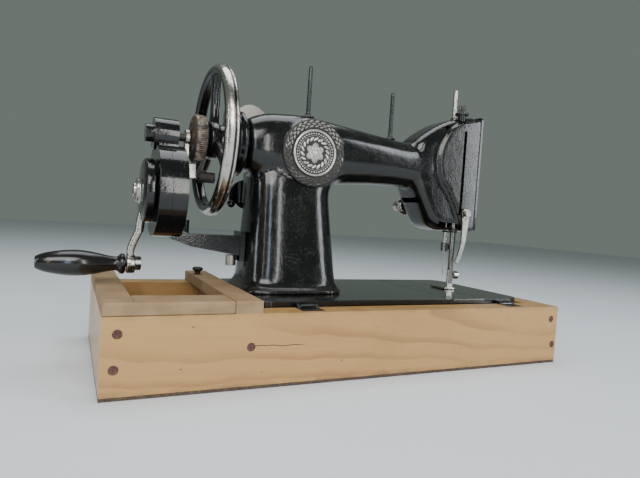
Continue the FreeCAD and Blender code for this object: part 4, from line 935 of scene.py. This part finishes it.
class SewingCasting(bpy.types.Operator):
    """Pillar, arm and head cast in one piece, blended where they meet and hollowed inside"""
    bl_idname = "sewing.casting"
    bl_label = "Arm casting"

    def execute(self, context):
        look = context.scene.sewing_casting
        thing = piece("arm_and_head_casting", casting_skin(), ["casting_enamel"], "head", ["arm_casting"])
        remesh = thing.modifiers.new("one_skin", "REMESH")
        remesh.mode = "VOXEL"
        remesh.voxel_size = look.grain_size
        mesh = settled(thing)
        points = np.empty(len(mesh.vertices) * 3)
        mesh.vertices.foreach_get("co", points)
        weight = np.round(blend_weights(points.reshape(-1, 3)) * 12).astype(int)
        group = thing.vertex_groups.new(name="blend")
        for level in range(1, 13):
            group.add(np.flatnonzero(weight == level).tolist(), level / 12, "REPLACE")
        blend = thing.modifiers.new("blend", "SMOOTH")
        blend.vertex_group = "blend"
        blend.factor = 0.5
        blend.iterations = look.passes
        overall = thing.modifiers.new("even", "SMOOTH")
        overall.factor = 0.5
        overall.iterations = 2
        rooms = casting_rooms()
        for room in rooms:
            cut = thing.modifiers.new(room.name, "BOOLEAN")
            cut.operation = "DIFFERENCE"
            cut.solver = "MANIFOLD"
            cut.object = room
        mesh = settled(thing)
        for room in rooms:
            bpy.data.objects.remove(room)
        mesh.materials.clear()
        mesh.materials.append(finish_named("casting_enamel"))
        mesh.polygons.foreach_set("material_index", np.zeros(len(mesh.polygons), np.int32))
        mesh.polygons.foreach_set("use_smooth", np.ones(len(mesh.polygons), bool))
        crease(mesh, 42)
        thing.vertex_groups.clear()
        return {"FINISHED"}


class SewingCover(bpy.types.Operator):
    """Round rear cover with a worn leaf wreath, and the silvered medallion in it"""
    bl_idname = "sewing.cover"
    bl_label = "Rear cover and medallion"

    def execute(self, context):
        low, high = ends("rear_cover_plate")
        face = high[1] - low[1] - 2
        outer = soft_corners([(29.6, -2), (29.6, 0), (COVER_R, 0), (COVER_R, 2.6),
                              (COVER_R - 1.2, 3.9)], 0.4)
        rings = np.linspace(COVER_R - 1.8, 29.2, 34)
        flat = np.column_stack([rings, np.full(34, 3.35)])
        inner = [(28.6, 3.2), (28.1, 3.0), (0, 3.0), (0, -2)]
        profile = np.vstack([outer, flat, inner])

        def leaves(r, h, angle):
            band = (h > 3.3) & (r < COVER_R - 1.7) & (r > 29.1)
            lift = np.zeros_like(r)
            for row, (middle, lean) in enumerate(((36.4, 0.16), (33.7, -0.14), (31.0, 0.16))):
                count = 30
                turn = angle * count / (2 * math.pi) + row * 0.5 + (r - middle) * lean
                along = (turn - np.round(turn)) * 2
                across = (r - middle) / 1.75
                leaf = np.clip(1 - along ** 2 * 1.15 - across ** 2, 0, None) ** 0.5
                vein = np.exp(-(across / 0.12) ** 2) * 0.25 * (leaf > 0.2)
                lift = np.maximum(lift, leaf - vein)
            return np.zeros_like(r), np.where(band, lift * (face - 3.35) * 0.98, 0)

        form = Form()
        turned(form, profile, (COVER_X, low[1] + 2, COVER_Z), "+y", 540, leaves)
        formed(form, "wreath_cover", ["black_cover"], "head", ["rear_cover_plate"])
        self.medallion()
        return {"FINISHED"}

    def medallion(self):
        """A disc in relief: rim, a ring of beads, a ring of leaves and a double flower."""
        low, high = ends("rear_cover_medallion")
        top = high[1] - low[1]
        rings = np.linspace(27.6, 0.0, 96)
        profile = np.column_stack([rings, np.full(96, 0.75)])

        def dome(*offsets):
            """1 in the middle, falling round to 0 where the squared offsets add up to 1."""
            return np.clip(1 - sum(offset ** 2 for offset in offsets), 0, None) ** 0.5

        def relief(r, h, angle):
            rim = dome((r - 26.0) / 1.5)
            step = angle * 44 / (2 * math.pi)
            bead = dome((step - np.round(step)) * 2.6, (r - 22.4) / 1.25)
            line = np.clip(1 - ((r - 20.0) / 0.45) ** 2, 0, None) * 0.5
            sprig = angle * 18 / (2 * math.pi) + (r - 16) * 0.13
            leaf = dome((sprig - np.round(sprig)) * 2.3, (r - 16.2) / 2.7)
            petals = []
            for reach, turn, rise in ((12.4, 0.0, 0.62), (8.6, math.pi / 6, 0.85)):
                edge = reach * (0.66 + 0.34 * np.abs(np.cos(3 * (angle + turn))) ** 0.8)
                petals.append(dome((r / edge) ** 1.5) * rise * (0.72 + 0.28 * r / edge))
            heart = dome(r / 3.0)
            lift = np.maximum.reduce([rim, bead * 0.85, line, leaf * 0.8, *petals, heart])
            inside = r < 27.55
            return np.zeros_like(r), np.where(inside, np.clip(lift, 0, 1) * (top - 0.8), 0)

        form = Form()
        at = (COVER_X, low[1], COVER_Z)
        turned(form, profile, at, "+y", 420, relief)
        turned(form, [(27.6, 0.75), (27.6, 0), (0, 0)], at, "+y", 420)
        formed(form, "silvered_medallion", ["aged_silver"], "head", ["rear_cover_medallion"])


class SewingHeadFittings(bpy.types.Operator):
    """Face plate, spool pins, machine screws, pressure screw and studs"""
    bl_idname = "sewing.head_fittings"
    bl_label = "Head fittings"

    def execute(self, context):
        softened("face_plate", "head", "black_enamel", 0.0007, 3)
        softened("machine_screws", "head", "polished_steel", 0.0004)
        coat("pivot_studs", "dark_iron")
        self.pins()
        low, high = ends("pressure_screw")
        base, tall = low[2], high[2] - low[2]

        def ribs(r, h, angle):
            band = (r > 4.4) & (h > tall - 13.2) & (h < tall - 0.6)
            return np.where(band, 0.28 * np.cos(angle * 24), 0), np.zeros_like(r)

        profile = soft_corners([(4.1, 0.01), (5.4, 0.01), (5.4, tall - 14), (8.9, tall - 14),
                                (8.9, tall - 11), (5.0, tall - 10.4), (4.7, tall - 9.6),
                                (4.7, tall - 1), (3.6, tall), (0, tall), (0, tall - 20),
                                (4.1, tall - 32)], 0.5)
        form = Form()
        turned(form, profile, (NEEDLE_X, PRESSER_Y, base), "+z", 144, ribs, ring=True)
        formed(form, "ribbed_pressure_screw", ["blued_steel"], "pressure", ["pressure_screw"])
        return {"FINISHED"}

    def pins(self):
        """Two tapering pins on turned feet."""
        highest = ends("spool_pins")[1][2]
        form = Form()
        for x, foot, top, flange in ((99, 289, highest, 8), (-22, 277.5, highest - 12.5, 7)):
            profile = soft_corners([(0, foot - 6), (2.7, foot - 6), (2.7, foot), (flange, foot),
                                    (flange, foot + 1.4), (flange - 2.6, foot + 2.6),
                                    (3.6, foot + 3.4), (2.75, foot + 6), (2.45, top - 4),
                                    (1.7, top - 0.4), (0, top)], 0.9)
            turned(form, profile, (x, SHAFT_Y, 0), "+z", 32)
        formed(form, "turned_spool_pins", ["blued_steel"], "head", ["spool_pins"])


class SewingHandwheel(bpy.types.Operator):
    """Handwheel: plated two-band rim on black spokes, hub and belt pulley"""
    bl_idname = "sewing.handwheel"
    bl_label = "Handwheel"

    def execute(self, context):
        form = Form()
        left = WHEEL_LEFT
        size = WHEEL_RIM
        rim = soft_corners([(size - 13, 3.5), (size - 12.6, 11.2), (size - 11, 13.6),
                            (size - 8.4, 15), (size - 5.0, 14.6), (size - 2.2, 12.6),
                            (size - 0.5, 9.8), (size, 7.4), (size - 0.15, 6.2), (size - 1.7, 5.7),
                            (size - 1.7, 4.2), (size - 0.45, 3.7), (size - 0.9, 1.9),
                            (size - 2.6, 0.6), (size - 6, 0), (size - 10, 0.7), (size - 12.4, 1.9)],
                           0.8, True, 3)

        def plating(middles):
            away = np.hypot(middles[:, 1] - SHAFT_Y, middles[:, 2] - SHAFT_Z)
            rise = middles[:, 0] - left
            groove = (rise > 4.0) & (rise < 5.9) & (away < size - 0.6)
            return ((away > size - 4.6) & ~groove).astype(int)

        turned(form, rim, (left, SHAFT_Y, SHAFT_Z), sides=200, mark=plating, ring=True)
        low = WHEEL_LOW[0]
        hub = soft_corners([(5, low), (8, low), (37, low), (37, low + 3), (33.4, low + 7),
                            (37, low + 11), (37, low + 13.6), (34, low + 14.6), (22, low + 15.4),
                            (19, low + 18), (18.4, left + 2.5), (21, left + 4.5), (21.4, left + 12),
                            (18.6, left + 14.6), (15, WHEEL_HIGH[0] - 0.4), (13, WHEEL_HIGH[0]),
                            (5, WHEEL_HIGH[0])], 1.1)
        turned(form, hub, (0, SHAFT_Y, SHAFT_Z), sides=96, ring=True)
        reach = np.linspace(16, size - 10.5, 26)
        bow = np.sin((reach - 16) / (size - 26.5) * math.pi)
        flare = 1 + 0.55 * np.abs(np.linspace(-1, 1, 26)) ** 3
        a, b = squared_ring(np.array([[6.6]]), np.array([[4.4]]), 2.8, 28)
        section = np.column_stack([a[0], b[0]])
        for turn in (90, 210, 330):
            angle = math.radians(turn)
            out = np.array([0, math.cos(angle), math.sin(angle)])
            side = np.array([0, -math.sin(angle), math.cos(angle)])
            path = (np.array([left + 7.6, SHAFT_Y, SHAFT_Z]) + reach[:, None] * out
                    + (bow * 3.4)[:, None] * side - (bow * 1.6)[:, None] * np.array([1, 0, 0]))
            form.grid(carried(path, (1, 0, 0), section, np.column_stack([flare, 0.9 + 0.2 * flare])))
        formed(form, "spoked_handwheel", ["wheel_enamel", "wheel_rim"], "wheel", ["handwheel"], sharp=40)
        self.clutch()
        return {"FINISHED"}

    def clutch(self):
        """The stop-motion knob: a disc with a crowned, coin-edged rim and a locking screw."""
        low, high = ends("clutch_knob")
        size = (high[2] - low[2]) / 2
        wide = high[0] - low[0]
        rings = np.array([(0, 0.01), (9, 0.01), (size - 3.4, 0.01), (size - 1.8, 0.5),
                          (size - 0.8, 1.6), (size - 0.4, 3), (size - 0.4, 5), (size - 0.4, 7),
                          (size - 0.4, 9), (size - 0.4, 11), (size - 0.8, 12.4), (size - 2.2, 13.6),
                          (size - 4, 14.3), (18, 14.9), (13, 15.3), (11, wide), (9.4, 14.4),
                          (9, 13.6), (0, 13.6)])

        def coin_edge(r, h, angle):
            band = (r > size - 1) & (h > 1) & (h < 13)
            wave = np.sin(angle * 75)
            return np.where(band, 0.4 * np.sign(wave) * np.abs(wave) ** 0.5, 0), 0 * r

        form = Form()
        turned(form, rings, (low[0], SHAFT_Y, SHAFT_Z), sides=450, ripple=coin_edge)
        screw = (low[0] + wide - 1.0, SHAFT_Y, SHAFT_Z + 17)
        form.grid(slotted_head(screw, "+x", 2.8, 0.9, 0.45, 0.7), ends=False)
        turned(form, [(0, -6), (2.6, -6), (2.8, 0.02), (0, 0.02)], screw, sides=24)
        formed(form, "knurled_clutch_knob", ["knurled_iron"], "clutch", ["clutch_knob"], 45)


class SewingCrankBracket(bpy.types.Operator):
    """Bracket and gear cover beside the wheel, with the gear inside"""
    bl_idname = "sewing.crank_bracket"
    bl_label = "Crank bracket"

    def execute(self, context):
        edge = context.scene.sewing_enamel.edge
        softened("crank_bracket", "head", "black_enamel", edge, 3)
        softened("crank_gear_cover", "head", "black_enamel", edge * 0.6)
        for node_name in ("crank_gear", "driver_pinion", "bushes", "arm_shaft", "needle_bar_cam"):
            coat(node_name, "dark_iron")
        return {"FINISHED"}


class SewingCrank(bpy.types.Operator):
    """Crank disc with its curved nickel rod, centre screw, bolt and the turned grip"""
    bl_idname = "sewing.crank"
    bl_label = "Crank and grip"

    def execute(self, context):
        back = ends("crank_arm")[0][0]
        form = Form()
        disc = soft_corners([(3.5, 0), (34, 0), (35, 1.2), (35, 8.6), (32.4, 10.6), (27, 11.8), (15, 12.6),
                             (13.4, 14), (12.6, 16.6), (11.4, 17), (3.5, 17)], 1.2)
        turned(form, disc, (back, SHAFT_Y, CRANK_Z), sides=96, ring=True,
               mark=lambda middles: (middles[:, 0] > back + 12.4).astype(int))
        grip_z = CRANK_Z - 80
        path = smooth_path([(x, SHAFT_Y, CRANK_Z - drop) for x, drop in (
            (286.5, 24), (288.2, 34), (289.4, 44), (293.4, 54), (296.6, 64), (297.0, 74))], 8)
        thick = np.linspace(1.15, 0.92, len(path))
        form.grid(carried(path, (0, 1, 0), disc_section(28) * 4.3, np.column_stack([thick, thick])), 1)
        eye = soft_corners([(4, 0), (9, 0), (10, 1), (10, 8), (9, 9), (4, 9)], 0.8)
        turned(form, eye, (292, SHAFT_Y, grip_z), mark=1, ring=True)
        formed(form, "crank_disc_and_rod", ["black_enamel", "bright_nickel"], "crank", ["crank_arm"],
               40)
        form = Form()
        screw_low, screw_high = ends("crank_centre_screw")
        seat = (screw_high[0] - 1.4, SHAFT_Y, CRANK_Z)
        turned(form, [(0, 0), (3.5, 0), (3.5, 15), (0, 15)], (screw_low[0], SHAFT_Y, CRANK_Z), sides=32)
        form.grid(slotted_head(seat, "+x", 7.4, 1.4, 0.8, 0.5, 64), ends=False)
        turned(form, [(0, -1.7), (7.4, -1.7), (7.4, -0.8), (0, -0.8)], seat)
        formed(form, "slotted_centre_screw", ["bright_nickel"], "crank", ["crank_centre_screw"])
        softened("grip_bolt", "crank", "bright_nickel", 0.0005)
        self.grip(grip_z)
        return {"FINISHED"}

    def grip(self, grip_z):
        """A swelling turned handle with a bead at its root and a hollow for the bolt's end."""
        low, high = ends("crank_grip")
        long = high[0] - low[0]
        outside = smooth_path([(9.0, 0.0), (10.4, 0.9), (11.0, 3.0), (10.4, 5.0), (9.0, 6.2),
                               (7.7, 8.0), (7.6, 11.0), (8.7, 18.0), (10.8, 27.0), (12.7, 37.0),
                               (13.5, 46.0), (13.3, 55.0), (12.3, 64.0), (10.9, 72.0), (9.3, 78.0),
                               (7.4, 82.6), (5.9, long)], 5)
        bore = [(5.4, long - 0.2), (5.3, 79.0), (3.05, 78.8), (3.05, 0.0)]
        form = Form()
        turned(form, np.vstack([outside, bore]), (low[0], SHAFT_Y, grip_z), sides=72, ring=True)
        formed(form, "turned_crank_grip", ["black_grip"], "grip", ["crank_grip"], sharp=50)


class SewingDriver(bpy.types.Operator):
    """Driver link and the folding finger with its pad"""
    bl_idname = "sewing.driver"
    bl_label = "Driver"

    def execute(self, context):
        softened("driver_link", "driver", "bright_nickel", 0.0006, 3)
        softened("driver_finger", "finger", "dark_iron", 0.0004)
        softened("driver_pad", "finger", "leather_pad", 0.0008, 3)
        return {"FINISHED"}


class SewingBars(bpy.types.Operator):
    """Needle bar, presser bar, foot, lifter and take-up"""
    bl_idname = "sewing.bars"
    bl_label = "Needle and presser parts"

    def execute(self, context):
        for node_name in ("needle_bar", "needle"):
            coat(node_name, "bright_nickel")
        coat("presser_bar", "plates_with_painted_dark_reflection")
        for node_name in ("needle_bar_block", "presser_spring", "connecting_rod", "shuttle_lever",
                          "feed_bar"):
            coat(node_name, "dark_iron")
        for node_name in ("shuttle", "shuttle_bobbin", "feed_dog"):
            coat(node_name, "polished_steel")
        softened("needle_clamp", "needle_bar_group", "plates_with_painted_dark_reflection", 0.0004)
        softened("presser_foot", "presser", "bright_nickel", 0.0004)
        softened("presser_lifter", "lifter", "bright_nickel", 0.0007, 3)
        softened("take_up_lever", "take_up", "bright_nickel", 0.0006, 3)
        return {"FINISHED"}


class SewingSmallLevers(bpy.types.Operator):
    """Thread tension, stitch regulator and bobbin winder"""
    bl_idname = "sewing.small_levers"
    bl_label = "Tension, regulator and winder"

    def execute(self, context):
        for node_name, body, finish, width, segments in (
                ("tension_discs", "head", "bright_nickel", 0.0003, 2),
                ("tension_nut", "tension", "bright_nickel", 0.0005, 2),
                ("regulator_plate", "head", "polished_steel", 0.0005, 2),
                ("regulator_lever", "regulator", "blued_steel", 0.0006, 3),
                ("winder_frame", "winder", "polished_steel", 0.0008, 3),
                ("winder_spindle", "winder_rotor", "polished_steel", 0.0005, 2),
                ("winder_tyre", "winder_rotor", "winder_rubber", 0.0009, 3)):
            softened(node_name, body, finish, width, segments)
        return {"FINISHED"}


def lamp(name, place, aim, size, power, tone=(1.0, 1.0, 1.0)):
    """A soft rectangular light that faces the aim point."""
    data = bpy.data.lights.new(name, "AREA")
    data.shape = "RECTANGLE"
    data.size, data.size_y = size
    data.energy = power
    data.color = tone
    light = bpy.data.objects.new(name, data)
    bpy.context.scene.collection.objects.link(light)
    light.location = place
    light.rotation_euler = (Vector(aim) - Vector(place)).to_track_quat("-Z", "Y").to_euler()


class SewingStageOperator(bpy.types.Operator):
    """Pale floor, soft lights and the camera"""
    bl_idname = "sewing.stage"
    bl_label = "Floor, light and camera"

    def execute(self, context):
        look = context.scene.sewing_stage
        form = Form()
        edge = np.array([(-4000, -4000), (4000, -4000), (4000, 4000), (-4000, 4000)], float)
        form.grid(np.stack([np.column_stack([edge, np.full(4, z)]) for z in (-30, CAD_BOX[0].z / MM)]))
        mesh = form.mesh("pale_floor")
        mesh.polygons.foreach_set("use_smooth", np.zeros(len(mesh.polygons), bool))
        floor = bpy.data.objects.new("pale_floor", mesh)
        context.scene.collection.objects.link(floor)
        mesh.materials.append(finish_named("floor"))
        world = context.scene.world or bpy.data.worlds.new("soft_room")
        context.scene.world = world
        world.use_nodes = True
        world.node_tree.nodes["Background"].inputs["Color"].default_value = (*look.air, 1.0)
        world.node_tree.nodes["Background"].inputs["Strength"].default_value = 0.30
        aim = (0.05, 0.0, 0.16)
        lamp("window_light", (0.75, 1.35, 1.25), aim, (1.2, 0.9), look.key, (1.0, 0.98, 0.95))
        lamp("side_strip", (-1.15, 1.0, 0.75), aim, (0.30, 1.3), look.key * 0.42, (0.90, 0.95, 1.0))
        lamp("crank_side_strip", (1.6, 0.35, 0.55), aim, (0.25, 1.1), look.key * 0.22, (0.92, 0.96, 1.0))
        lamp("overhead", (0.0, -0.3, 1.6), aim, (1.4, 1.0), look.key * 0.6, (0.93, 0.96, 1.0))
        for name, place, wide, power, tone in (
                ("rear_strip", (-0.05, 1.60, 0.62), 0.12, 0.19, (1.0, 1.0, 0.98)),
                ("cool_strip", (0.57, 1.48, 0.62), 0.15, 0.16, (0.66, 0.78, 1.0)),
                ("warm_strip", (1.02, 1.24, 0.62), 0.05, 0.06, (1.0, 0.88, 0.74))):
            lamp(name, place, (0.11, 0.03, place[2]), (wide, 1.1), look.key * power, tone)
        self.camera(context, look.lens)
        return {"FINISHED"}

    def camera(self, context, lens):
        """Behind the machine and to its crank side, a little above the bed, rolled slightly."""
        data = bpy.data.cameras.new("camera")
        data.lens = lens
        data.sensor_width = 36.0
        eye = bpy.data.objects.new("camera", data)
        context.scene.collection.objects.link(eye)
        yaw, pitch, roll = (math.radians(v) for v in (25.98, 2.42, 3.77))
        flat = math.cos(pitch)
        ahead = Vector((-math.sin(yaw) * flat, -math.cos(yaw) * flat, -math.sin(pitch)))
        level = ahead.cross(Vector((0, 0, 1))).normalized()
        upright = level.cross(ahead)
        right = math.cos(roll) * level + math.sin(roll) * upright
        above = math.cos(roll) * upright - math.sin(roll) * level
        turn = Matrix((right, above, -ahead)).transposed().to_4x4()
        eye.matrix_world = Matrix.Translation((0.3579, 0.5836, 0.1687)) @ turn
        context.scene.camera = eye


class SewingPanel(bpy.types.Panel):
    """Lists the pieces of the machine and the sizes and colours behind them"""
    bl_idname = "VIEW3D_PT_sewing_machine"
    bl_label = "Sewing machine"
    bl_space_type = "VIEW_3D"
    bl_region_type = "UI"
    bl_category = "Sewing machine"

    def draw(self, context):
        column = self.layout.column()
        for step in STEPS:
            column.operator(step.bl_idname)
        for name in GROUPS:
            group = getattr(context.scene, name)
            box = self.layout.box()
            for key in group.bl_rna.properties.keys():
                if key not in ("rna_type", "name"):
                    box.prop(group, key)


GROUPS = {"sewing_wood": SewingWood, "sewing_enamel": SewingEnamel, "sewing_metal": SewingMetal,
          "sewing_casting": SewingCastingSizes, "sewing_stage": SewingStage}
STEPS = (SewingBoards, SewingBaseScrews, SewingBaseFittings, SewingBed, SewingCasting, SewingCover,
         SewingHeadFittings, SewingHandwheel, SewingCrankBracket, SewingCrank, SewingDriver, SewingBars,
         SewingSmallLevers, SewingStageOperator)


def register():
    for one in (*GROUPS.values(), *STEPS, SewingPanel):
        bpy.utils.register_class(one)
    for name, group in GROUPS.items():
        setattr(bpy.types.Scene, name, bpy.props.PointerProperty(type=group))


def unregister():
    for name in GROUPS:
        delattr(bpy.types.Scene, name)
    for one in (SewingPanel, *reversed(STEPS), *reversed(GROUPS.values())):
        bpy.utils.unregister_class(one)


def main():
    """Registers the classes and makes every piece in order."""
    register()
    for step in STEPS:
        section, name = step.bl_idname.split(".")
        getattr(getattr(bpy.ops, section), name)()


if __name__ == "__main__":
    main()
